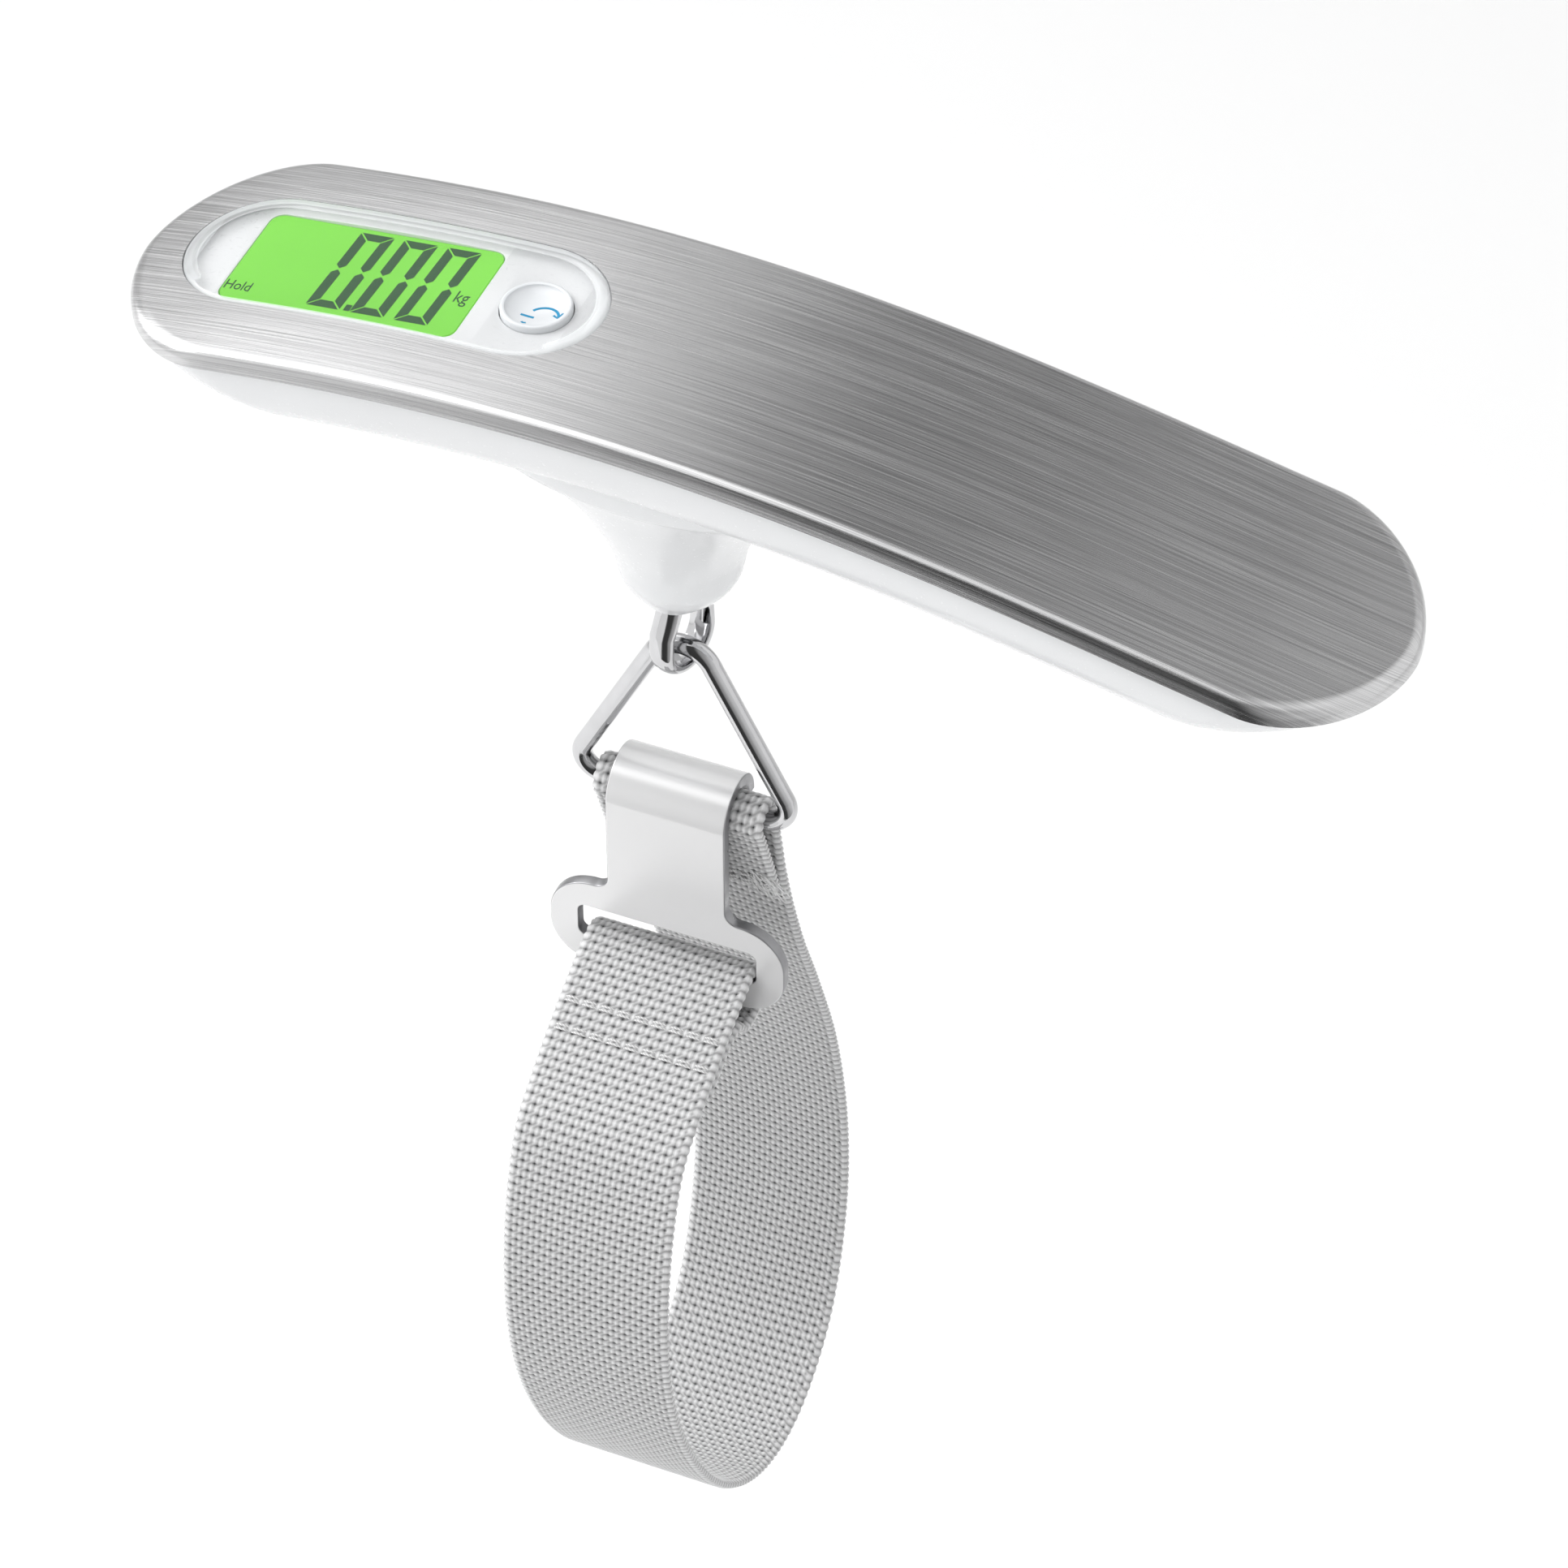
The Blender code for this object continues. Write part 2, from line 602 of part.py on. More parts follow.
combine(shell, cutter(rod(COIN_RADIUS + 0.5, -20, -5, 48), bay_frame), "DIFFERENCE")
combine(shell, cutter(rod(COIN_RADIUS + 1.5, -20, -11.6, 48), bay_frame), "DIFFERENCE")
for x, y, head in CASE_SCREWS:
    combine(shell, cutter(moved(rod(1.25, top_z(x) - 20, top_z(x) - 3, 16), x, y)), "DIFFERENCE")
    combine(shell, cutter(moved(rod(2.2, top_z(x) - 20, top_z(x) - head), x, y)), "DIFFERENCE")
smooth(shell, 32)

for index, (x, y, head) in enumerate(CASE_SCREWS, 1):
    screw = turned((
        (0, -head - 1.3), (1.5, -head - 1.3), (1.9, -head - 1.0), (1.9, -head - GAP),
        (0.95, -head - GAP), (0.95, -2.9), (0, -2.7),
    ), 20)
    add(f"case_screw_{index}", moved(screw, x, y, top_z(x)), ZINC)

# ---------------------------------------------------------------- coin cell, contacts, cover
coin = turned((
    (0, COIN_TOP), (8.8, COIN_TOP), (8.8, COIN_TOP - 0.3), (COIN_RADIUS, COIN_TOP - 0.5),
    (COIN_RADIUS, COIN_TOP - COIN_THICK + 0.3), (COIN_RADIUS - 0.3, COIN_TOP - COIN_THICK),
    (0, COIN_TOP - COIN_THICK),
), 48)
add("coin_cell", coin, NICKEL, frame=bay_frame)
add("battery_contact_top", block((14.0, 5.0), COIN_TOP + 0.3, COIN_TOP + 0.7), SPRING_STEEL, False,
    frame=bay_frame)
contact = block((0.4, 5.0), -8.5, -6.4, -COIN_RADIUS - 0.55)
add("battery_contact_side", contact, SPRING_STEEL, False, frame=bay_frame)
cover = add("battery_cover", turned((
    (0, -10.9), (COIN_RADIUS + 0.1, -10.9), (COIN_RADIUS + 0.1, -11.9), (COIN_RADIUS + 1.2, -11.9),
    (COIN_RADIUS + 1.2, -15.0), (0, -15.0),
), 48), WHITE_GLOSS, frame=bay_frame)
combine(cover, cutter(loft(shell_loops(0))), "INTERSECT")
combine(cover, cutter(block((2.0, 14.0), -18, -12.3), bay_frame), "DIFFERENCE")
smooth(cover, 32)

# ---------------------------------------------------------------- wires
for name, y in (("gauge_wire_1", 2.2), ("gauge_wire_2", 3.2), ("gauge_wire_3", 4.2)):
    start = cell_frame @ Vector((-8.6 * MM, y * MM, (CELL_TOP + 0.8) * MM))
    end = lcd_frame @ Vector((26.4 * MM, (y * 1.6 - 0.5) * MM, -5.9 * MM))
    a, b = start / MM, end / MM
    middle = ((a.x + b.x) / 2, (a.y + b.y) / 2 + 0.8, (a.z + b.z) / 2 + 0.6)
    route = catmull([tuple(a), (a.x - 4, a.y, a.z + 0.5), middle, (b.x + 4, b.y, b.z + 0.5), tuple(b)], 4)
    shade = {"gauge_wire_1": (0.6, 0.05, 0.05), "gauge_wire_2": (0.85, 0.85, 0.8),
             "gauge_wire_3": (0.05, 0.05, 0.05)}[name]
    add(name, wire(route, 0.35, 6), (shade, 0.5))

# ---------------------------------------------------------------- eye that carries the ring
path = [(-LEG_Y, PIN_Z + 3.0), (-LEG_Y, PIN_Z - 1.0), (-LEG_Y, -31.0)]
path += catmull([(-LEG_Y, -33.4), (-LEG_Y - 0.3, -35.8), (-EYE_RADIUS + 0.12, -39.0)], 3)
path += arc(0, EYE_Z, EYE_RADIUS, 180, 360, 14)
path += [(-y, z) for y, z in reversed(path[:-15])]
section = [(-EYE_WIDTH / 2, EYE_THICK / 2), (EYE_WIDTH / 2, EYE_THICK / 2)]
section += [(EYE_WIDTH / 2 * x, 0.1 - 0.85 * z) for x, z in arc(0, 0, 1, 8, 172, 8)]
band = swept(path, section)
for v in band.verts:
    share = min(1.0, max(0.0, (-31.0 - v.co.z) / 8.0))
    v.co = Matrix.Rotation(-math.radians(EYE_TWIST) * share, 3, "Z") @ v.co
eye = add("hook_eye", band, CHROME)
combine(eye, cutter(moved(rod(PIN_RADIUS + GAP, -8, 8, 20), 0, 0, PIN_Z, (math.pi / 2, 4, "X"))), "DIFFERENCE")
smooth(eye, 32)

# ---------------------------------------------------------------- triangular ring


def rounded_triangle():
    """The ring's centre line in the X-Z plane: a belt around three bend circles."""
    low_z = RING_BAR_Z + RING_CORNER_BEND
    side = RING_HALF - RING_CORNER_BEND
    circles = (
        (Vector((0, RING_APEX_Z - RING_APEX_BEND)), RING_APEX_BEND),
        (Vector((-side, low_z)), RING_CORNER_BEND),
        (Vector((side, low_z)), RING_CORNER_BEND),
    )
    normals = []
    for (a, ra), (b, rb) in zip(circles, circles[1:] + circles[:1]):
        gap = b - a
        normals.append(math.atan2(gap.y, gap.x) - math.acos((ra - rb) / gap.length))
    points = []
    for i, (centre, bend) in enumerate(circles):
        start, end = normals[i - 1], normals[i]
        swing = (end - start) % (2 * math.pi)
        for k in range(9):
            a = start + swing * k / 8
            points.append((centre.x + bend * math.cos(a), 0, centre.y + bend * math.sin(a)))
    return points


add("triangle_ring", wire(rounded_triangle(), RING_WIRE, 14, closed=True), CHROME)

# ---------------------------------------------------------------- strap hook plate
outer = HOOK_BORE + HOOK_THICK
hook_side = [(-outer, HOOK_BOTTOM_Z - 1.0)]
hook_side += arc(0, RING_BAR_Z, outer, 180, -4, 20)
hook_side += arc(0, RING_BAR_Z, HOOK_BORE, -4, 180, 20)
hook_side += [(-HOOK_BORE, HOOK_BOTTOM_Z - 1.0)]
hook = add("t_hook", extruded(hook_side, -HOOK_EAR - 1.0, HOOK_EAR + 1.0, "X"), CHROME)


ear_round = 5.5
front = [(HOOK_NECK, -50.0)]
front += arc(HOOK_NECK + 1.7, HOOK_SHOULDER_Z + 1.7, 1.7, 180, 268, 5)
front += arc(HOOK_EAR - ear_round, HOOK_SHOULDER_Z - ear_round, ear_round, 88, 0, 8)
front += arc(HOOK_EAR - ear_round, HOOK_BOTTOM_Z + ear_round, ear_round, 0, -90, 8)
stencil = extruded(mirrored(front), -20, 20, "Y")
combine(hook, cutter(stencil), "INTERSECT")
slot = [(SLOT_HALF - 0.8, SLOT_TOP_Z), (SLOT_HALF, SLOT_TOP_Z - 0.8), (SLOT_HALF, SLOT_BOTTOM_Z + 0.8),
        (SLOT_HALF - 0.8, SLOT_BOTTOM_Z)]
combine(hook, cutter(extruded(mirrored(slot), -20, 20, "Y")), "DIFFERENCE")
hook.data.transform(Matrix.Translation((HOOK_X * MM, 0, 0)))
smooth(hook, 32)

# ---------------------------------------------------------------- webbing
web_bore = RING_WIRE + GAP + WEB_THICK / 2
STRAP_LINE = (
    (4.7, -78.2), (7.0, -86.0), (10.4, -95.5), (15.2, -107.0), (21.0, -123.0), (24.6, -141.0), (24.4, -157.0),
    (19.6, -171.5), (10.0, -178.8), (-1.0, -177.6), (-12.0, -169.0), (-21.4, -155.0), (-28.0, -139.0),
    (-30.4, -124.0), (-29.4, -110.0), (-25.9, -99.0),
)
strap_path = [(2.8, -79.2), (1.4, -75.0)]
strap_path += arc(0, RING_BAR_Z, web_bore, 221, -4, 16)
strap_path += [(3.2, -71.3)]
strap_path += catmull(STRAP_LINE, 4)
strap = add("webbing_strap", extruded(ribbon(strap_path, WEB_THICK), -WEB_WIDTH / 2, WEB_WIDTH / 2, "X"),
            WEBBING)
smooth(strap, 40)

HOOK_END_LINE = (
    (-22.6, -97.4), (-17.6, -94.2), (-12.3, -91.4), (-8.6, -91.2), (-6.6, -93.2), (-4.2, -93.7), (-2.2, -93.0),
    (-1.6, -90.6), (-2.2, -87.6), (-4.6, -86.5), (-9.0, -88.0), (-15.0, -91.0), (-20.6, -94.4), (-25.2, -97.6),
)
end_path = catmull(HOOK_END_LINE, 5)
strap_end = add("webbing_hook_end", extruded(ribbon(end_path, WEB_THICK), -WEB_WIDTH / 2, WEB_WIDTH / 2, "X"),
                WEBBING)
smooth(strap_end, 40)


# ---------------------------------------------------------------- origins on the joints' axes


def set_origin(name, point):
    """Move an object's origin without moving its shape."""
    obj = bpy.data.objects[name]
    local = obj.matrix_world.inverted() @ Vector([c * MM for c in point])
    obj.data.transform(Matrix.Translation(-local))
    obj.matrix_world = obj.matrix_world @ Matrix.Translation(local)


bpy.context.view_layer.update()
for name, point in (
    ("hook_eye", (0, 0, PIN_Z)), ("triangle_ring", (0, 0, RING_APEX_Z)), ("t_hook", (0, 0, RING_BAR_Z)),
    ("webbing_strap", (0, 0, RING_BAR_Z)), ("webbing_hook_end", (0, 0, RING_BAR_Z)),
):
    set_origin(name, point)
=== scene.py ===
"""The looks of a hand-held luggage scale: brushed steel cover, lit display, white shell, chrome and webbing.

Lengths are millimetres until a mesh is made.  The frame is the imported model's: +X along the handle away
from the display, -Y towards the strap hook, +Z up, with the load line at X = Y = 0.
"""
import math

import bmesh
import bpy
from mathutils import Matrix, Vector, noise


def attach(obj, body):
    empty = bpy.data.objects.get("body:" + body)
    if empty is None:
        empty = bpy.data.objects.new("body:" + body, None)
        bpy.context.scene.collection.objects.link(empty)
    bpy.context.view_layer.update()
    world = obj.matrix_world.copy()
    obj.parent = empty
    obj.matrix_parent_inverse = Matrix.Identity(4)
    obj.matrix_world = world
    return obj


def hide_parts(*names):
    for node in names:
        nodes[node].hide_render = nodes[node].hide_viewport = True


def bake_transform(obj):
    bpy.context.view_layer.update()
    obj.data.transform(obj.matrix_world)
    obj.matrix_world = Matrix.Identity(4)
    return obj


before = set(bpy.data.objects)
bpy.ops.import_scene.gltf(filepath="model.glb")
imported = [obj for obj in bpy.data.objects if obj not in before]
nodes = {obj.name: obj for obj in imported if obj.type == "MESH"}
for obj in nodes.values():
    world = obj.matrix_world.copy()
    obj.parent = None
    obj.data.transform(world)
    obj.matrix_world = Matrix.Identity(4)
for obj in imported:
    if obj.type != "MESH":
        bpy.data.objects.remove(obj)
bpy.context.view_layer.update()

MM = 0.001

# The handle: an arched bar with rounded ends, highest at CROWN_X.
HANDLE_MIN_X = -62.0
HANDLE_LENGTH = 144.0
HANDLE_WIDTH = 34.8
END_LENGTH = 14.0
END_POWER = 1.8
ARCH_RADIUS = 226.0
ARCH_FLATTEN = 0.163
ARCH_REACH = 72.0
CROWN_X = -11.0
SKIRT = 2.3
SHELL_DEPTH = 13.0

# The display window, the panel in it and the button beside the panel.
DISPLAY_Y = 0.7
WINDOW_X = -32.8
WINDOW_HALF = 24.2
WINDOW_RADIUS = 9.2
LCD_X = -36.9
LCD_SIZE = (27.6, 14.8)
LCD_TOP = -1.33
BUTTON_X = -16.4
BUTTON_RADIUS = 3.9

# X, Y and head depth of each screw in the underside, and the coin cell's bay.
CASE_SCREWS = (
    (-37.0, 12.5, 8.0),
    (-37.0, -12.5, 8.0),
    (22.0, 12.5, 8.0),
    (22.0, -12.5, 8.0),
    (69.4, 0.0, 7.6),
)
BAY_X = 52.0
COIN_RADIUS = 10.0

# The load line, from the pin in the neck down to the ring's bar.
PIN_Z = -26.2
EYE_Z = -41.2
RING_APEX_Z = -42.6
RING_BAR_Z = -65.8
RING_WIRE = 1.15
WEB_WIDTH = 20.0
WEB_HALF_THICK = 0.6

# ================================================================ materials


def new_material(name, color, rough, metal=0.0):
    mat = bpy.data.materials.new(name)
    mat.use_nodes = True
    shader = mat.node_tree.nodes["Principled BSDF"]
    shader.inputs["Base Color"].default_value = (*color, 1.0)
    shader.inputs["Roughness"].default_value = rough
    shader.inputs["Metallic"].default_value = metal
    return mat, mat.node_tree, shader


def coords(tree, scale, source="Object"):
    """Object or UV coordinates (metres) scaled by three factors, or by one."""
    place = tree.nodes.new("ShaderNodeTexCoord")
    mapping = tree.nodes.new("ShaderNodeMapping")
    mapping.inputs["Scale"].default_value = scale if isinstance(scale, tuple) else (scale,) * 3
    tree.links.new(place.outputs[source], mapping.inputs["Vector"])
    return mapping.outputs["Vector"]


def noise_tex(tree, scale, detail, rough=0.55, source="Object"):
    tex = tree.nodes.new("ShaderNodeTexNoise")
    tex.inputs["Scale"].default_value = 1.0
    tex.inputs["Detail"].default_value = detail
    tex.inputs["Roughness"].default_value = rough
    tree.links.new(coords(tree, scale, source), tex.inputs["Vector"])
    return tex.outputs["Fac"]


def ramp(tree, value, low, high, start=0.3, end=0.7):
    node = tree.nodes.new("ShaderNodeValToRGB")
    node.color_ramp.elements[0].position = start
    node.color_ramp.elements[1].position = end
    node.color_ramp.elements[0].color = (*low, 1.0)
    node.color_ramp.elements[1].color = (*high, 1.0)
    tree.links.new(value, node.inputs["Fac"])
    return node.outputs["Color"]


def spread(tree, value, low, high, start=0.3, end=0.7):
    node = tree.nodes.new("ShaderNodeMapRange")
    node.inputs["From Min"].default_value = start
    node.inputs["From Max"].default_value = end
    node.inputs["To Min"].default_value = low
    node.inputs["To Max"].default_value = high
    tree.links.new(value, node.inputs["Value"])
    return node.outputs["Result"]


def bump(tree, shader, height, distance, strength=1.0):
    node = tree.nodes.new("ShaderNodeBump")
    node.inputs["Distance"].default_value = distance
    node.inputs["Strength"].default_value = strength
    tree.links.new(height, node.inputs["Height"])
    tree.links.new(node.outputs["Normal"], shader.inputs["Normal"])


def mixed(tree, a, b, factor=0.5):
    node = tree.nodes.new("ShaderNodeMix")
    node.data_type = "FLOAT"
    node.inputs[0].default_value = factor
    tree.links.new(a, node.inputs[2])
    tree.links.new(b, node.inputs[3])
    return node.outputs[0]


def brushed_steel():
    """Steel brushed along the handle; the UV map follows the brushing."""
    mat, tree, shader = new_material("brushed_steel", (0.5, 0.5, 0.5), 0.3, 1.0)
    fine = noise_tex(tree, (60.0, 9000.0, 0.0), 3.0, 0.6, source="UV")
    coarse = noise_tex(tree, (22.0, 3600.0, 0.0), 3.0, 0.6, source="UV")
    lines = mixed(tree, fine, coarse, 0.5)
    tree.links.new(ramp(tree, lines, (0.44, 0.44, 0.445), (0.78, 0.78, 0.785), 0.36, 0.64),
                   shader.inputs["Base Color"])
    tree.links.new(spread(tree, lines, 0.18, 0.29, 0.35, 0.65), shader.inputs["Roughness"])
    shader.inputs["Anisotropic"].default_value = 0.45
    tangent = tree.nodes.new("ShaderNodeTangent")
    tangent.direction_type = "UV_MAP"
    tree.links.new(tangent.outputs["Tangent"], shader.inputs["Tangent"])
    bump(tree, shader, lines, 0.00004, 0.5)
    return mat


def white_plastic(name, color=(0.80, 0.81, 0.82), rough=0.22):
    mat, tree, shader = new_material(name, color, rough)
    tone = noise_tex(tree, 60.0, 2.0)
    low = tuple(c * 0.975 for c in color)
    tree.links.new(ramp(tree, tone, low, color), shader.inputs["Base Color"])
    grain = noise_tex(tree, 2500.0, 2.0)
    tree.links.new(spread(tree, grain, rough * 0.85, rough * 1.25), shader.inputs["Roughness"])
    shader.inputs["Coat Weight"].default_value = 0.3
    shader.inputs["Coat Roughness"].default_value = 0.12
    shader.inputs["Subsurface Weight"].default_value = 0.08
    shader.inputs["Subsurface Radius"].default_value = (0.003, 0.003, 0.003)
    bump(tree, shader, grain, 0.00001, 0.3)
    return mat


def chrome(name="chrome", color=(0.62, 0.62, 0.63), rough=0.07, ripple=0.35, patchy=1.0, metal=1.0):
    """Polished metal; patchy is how much its colour and roughness vary over the surface."""
    mat, tree, shader = new_material(name, color, rough, metal)
    cloud = noise_tex(tree, 420.0, 3.0)
    dull = tuple(c * (1 - 0.07 * patchy) for c in color)
    tree.links.new(ramp(tree, cloud, dull, color), shader.inputs["Base Color"])
    sheen = spread(tree, cloud, rough * (1 - 0.3 * patchy), rough * (1 + 0.8 * patchy))
    tree.links.new(sheen, shader.inputs["Roughness"])
    polish = noise_tex(tree, 160.0, 2.0)
    bump(tree, shader, polish, 0.00012, ripple)
    return mat


def fabric():
    """Webbing thread: the weave itself is in the mesh, and its relief, kept in a mesh attribute, sets painted
    shade: the hollows between the beads are painted nearly black.
    """
    mat, tree, shader = new_material("webbing_thread", (0.6, 0.6, 0.6), 0.8)
    relief_shade = tree.nodes.new("ShaderNodeAttribute")
    relief_shade.attribute_name = "relief_shade"
    # Painted shade: the lower the weave stands, the darker its colour, so the hollows go almost black and the
    # beads stay light grey.
    body = ramp(tree, relief_shade.outputs["Fac"], (0.04, 0.04, 0.042), (0.80, 0.80, 0.805), 0.08, 0.92)
    threads = noise_tex(tree, (5200.0, 900.0, 900.0), 3.0, 0.6)
    tint = ramp(tree, threads, (0.84, 0.84, 0.84), (1.0, 1.0, 1.0), 0.3, 0.7)
    mix = tree.nodes.new("ShaderNodeMix")
    mix.data_type = "RGBA"
    mix.blend_type = "MULTIPLY"
    mix.inputs[0].default_value = 1.0
    tree.links.new(body, mix.inputs[6])
    tree.links.new(tint, mix.inputs[7])
    tree.links.new(mix.outputs[2], shader.inputs["Base Color"])
    tree.links.new(spread(tree, threads, 0.68, 0.9), shader.inputs["Roughness"])
    shader.inputs["Sheen Weight"].default_value = 0.25
    shader.inputs["Sheen Roughness"].default_value = 0.4
    bump(tree, shader, threads, 0.00008, 0.6)
    return mat


def thread():
    mat, tree, shader = new_material("sewing_thread", (0.72, 0.72, 0.72), 0.6)
    twist = tree.nodes.new("ShaderNodeTexWave")
    twist.bands_direction = "DIAGONAL"
    twist.inputs["Scale"].default_value = 1.0
    tree.links.new(coords(tree, 1400.0), twist.inputs["Vector"])
    tree.links.new(ramp(tree, twist.outputs["Fac"], (0.58, 0.58, 0.58), (0.8, 0.8, 0.8)),
                   shader.inputs["Base Color"])
    bump(tree, shader, twist.outputs["Fac"], 0.00006, 0.6)
    return mat


def clear_lens(name="clear_lens", film=0.03):
    mat, tree, shader = new_material(name, (0.88, 0.90, 0.91), 0.04)
    haze = noise_tex(tree, 300.0, 2.0)
    tree.links.new(spread(tree, haze, 0.02, 0.06), shader.inputs["Roughness"])
    shader.inputs["Alpha"].default_value = film
    shader.inputs["IOR"].default_value = 1.5
    return mat


def lit_panel():
    mat, tree, shader = new_material("lit_panel", (0.07, 0.27, 0.015), 0.4)
    glow = noise_tex(tree, 45.0, 1.0)
    tree.links.new(ramp(tree, glow, (0.065, 0.25, 0.014), (0.075, 0.28, 0.017), 0.35, 0.65),
                   shader.inputs["Base Color"])
    tree.links.new(ramp(tree, glow, (0.18, 0.63, 0.034), (0.20, 0.68, 0.040), 0.35, 0.65),
                   shader.inputs["Emission Color"])
    shader.inputs["Emission Strength"].default_value = 0.64
    shader.inputs["Specular IOR Level"].default_value = 0.2
    return mat


def ink(name, color, rough=0.5):
    mat, tree, shader = new_material(name, color, rough)
    shader.inputs["Specular IOR Level"].default_value = 0.12
    grain = noise_tex(tree, 3000.0, 2.0)
    tree.links.new(ramp(tree, grain, tuple(c * 0.85 for c in color), color), shader.inputs["Base Color"])
    return mat


def moulded(name, color, rough=0.5, metal=0.0, scale=1500.0):
    mat, tree, shader = new_material(name, color, rough, metal)
    grain = noise_tex(tree, scale, 3.0)
    tree.links.new(ramp(tree, grain, tuple(c * 0.82 for c in color), color), shader.inputs["Base Color"])
    tree.links.new(spread(tree, grain, rough * 0.8, min(1.0, rough * 1.25)), shader.inputs["Roughness"])
    bump(tree, shader, grain, 0.00003, 0.4)
    return mat


STEEL = brushed_steel()
SHELL = white_plastic("shell_plastic")
BEZEL = white_plastic("bezel_plastic", (0.70, 0.71, 0.72), 0.3)
CAP = white_plastic("cap_plastic", (0.72, 0.74, 0.76), 0.08)
CHROME = chrome()
PLATE = chrome("plate_satin", (0.82, 0.82, 0.825), 0.25, 0.02, 0.08, 0.4)
EDGE = chrome("sheared_edge", (0.34, 0.34, 0.35), 0.3, 0.2)
HEAD = chrome("screw_head", (0.60, 0.60, 0.62), 0.22, 0.2)
WEB = fabric()
THREAD = thread()
LENS = clear_lens()
LENS_RIM = clear_lens("lens_rim", 0.42)
PANEL = lit_panel()
SEGMENT = ink("segment_ink", (0.008, 0.07, 0.012))
ICON = ink("icon_ink", (0.04, 0.30, 0.52))

# ================================================================ mesh helpers


def top_z(x):
    """Height of the handle's arched top."""
    d = x - CROWN_X
    return -d * d / (2 * ARCH_RADIUS) * (1 - ARCH_FLATTEN * (d / ARCH_REACH) ** 2)


def frame_at(x, y=0.0):
    """A frame on the handle's top, tilted with it."""
    rise = top_z(x + 0.5) - top_z(x - 0.5)
    return Matrix.Translation((x * MM, y * MM, top_z(x) * MM)) @ Matrix.Rotation(-math.atan(rise), 4, "Y")


def add(name, bm, mat, body, hides=(), place=None, angle=40.0, weld=0.002):
    """A mesh in millimetres becomes a finished piece."""
    bmesh.ops.remove_doubles(bm, verts=bm.verts, dist=weld)
    bmesh.ops.scale(bm, vec=(MM, MM, MM), verts=bm.verts)
    bmesh.ops.recalc_face_normals(bm, faces=bm.faces)
    mesh = bpy.data.meshes.new(name)
    bm.to_mesh(mesh)
    bm.free()
    obj = bpy.data.objects.new(name, mesh)
    bpy.context.scene.collection.objects.link(obj)
    if place is not None:
        mesh.transform(place)
    mesh.materials.append(mat)
    shade(obj, angle)
    if body:
        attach(obj, body)
        if hides:
            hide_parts(*hides)
    return obj


def shade(obj, angle):
    """Smooth shading, with edges sharper than an angle in degrees left sharp."""
    for poly in obj.data.polygons:
        poly.use_smooth = True
    obj.data.set_sharp_from_angle(angle=math.radians(angle))


def applied(obj):
    """Apply every modifier."""
    bpy.context.view_layer.update()
    graph = bpy.context.evaluated_depsgraph_get()
    mesh = bpy.data.meshes.new_from_object(obj.evaluated_get(graph))
    obj.modifiers.clear()
    old = obj.data
    obj.data = mesh
    mesh.name = obj.name
    bpy.data.meshes.remove(old)
    return obj


def cut(target, tool, operation="DIFFERENCE"):
    """Cut one solid with another, or join or intersect them, and delete the tool."""
    for item in (target, tool):
        bm = bmesh.new()
        bm.from_mesh(item.data)
        bmesh.ops.triangulate(bm, faces=[f for f in bm.faces if len(f.verts) > 4])
        bm.to_mesh(item.data)
        bm.free()
    mod = target.modifiers.new("cut", "BOOLEAN")
    mod.operation = operation
    mod.solver = "EXACT"
    mod.object = tool
    applied(target)
    bpy.data.objects.remove(tool)


def raw(bm, place=None):
    """A scratch solid for cut()."""
    return add("scratch", bm, SHELL, None, place=place)


def bevelled(obj, width, segments=3, angle=35.0):
    """Round the edges that are sharper than an angle; the width is in millimetres."""
    mod = obj.modifiers.new("bevel", "BEVEL")
    mod.width = width * MM
    mod.segments = segments
    mod.limit_method = "ANGLE"
    mod.angle_limit = math.radians(angle)
    mod.harden_normals = False
    applied(obj)
    shade(obj, 50.0)


def quarter(steps):
    """Even angles from 0 to a right angle."""
    return [math.pi / 2 * i / steps for i in range(steps + 1)]


def handle_loop(inset_y, inset_x, half_y=None, end_steps=28, side_steps=72):
    """The handle's outline from above, drawn in by the insets."""
    mid = HANDLE_MIN_X + HANDLE_LENGTH / 2
    hx = HANDLE_LENGTH / 2 - inset_x - END_LENGTH
    hy = (HANDLE_WIDTH / 2 if half_y is None else half_y) - inset_y
    power = 2 / END_POWER
    upper = []
    for a in quarter(end_steps)[:-1]:
        upper.append((mid + hx + END_LENGTH * math.cos(a) ** power, hy * math.sin(a) ** power))
    for i in range(side_steps + 1):
        upper.append((mid + hx - 2 * hx * i / side_steps, hy))
    for a in reversed(quarter(end_steps)[:-1]):
        upper.append((mid - hx - END_LENGTH * math.cos(a) ** power, hy * math.sin(a) ** power))
    return upper + [(x, -y) for x, y in reversed(upper[1:-1])]


def stadium_loop(mid, half, radius, steps=24, side_steps=30):
    """The outline of the display window: a long hole with round ends."""
    upper = []
    for a in quarter(steps)[:-1]:
        upper.append((mid + half - radius + radius * math.cos(a), radius * math.sin(a)))
    for i in range(side_steps + 1):
        upper.append((mid + (half - radius) * (1 - 2 * i / side_steps), radius))
    for a in reversed(quarter(steps)[:-1]):
        upper.append((mid - half + radius - radius * math.cos(a), radius * math.sin(a)))
    line = upper + [(x, -y) for x, y in reversed(upper[1:-1])]
    return [(x, y + DISPLAY_Y) for x, y in line]


def rounded_rect(w, h, r, steps=8):
    """A rectangle with round corners; point i mirrors point n - i across Y = 0."""
    hx, hy = w / 2, h / 2
    upper = [(hx, 0.0)]
    for a in quarter(steps):
        upper.append((hx - r + r * math.cos(a), hy - r + r * math.sin(a)))
    for a in reversed(quarter(steps)):
        upper.append((-hx + r - r * math.cos(a), hy - r + r * math.sin(a)))
    upper.append((-hx, 0.0))
    return upper + [(x, -y) for x, y in reversed(upper[1:-1])]


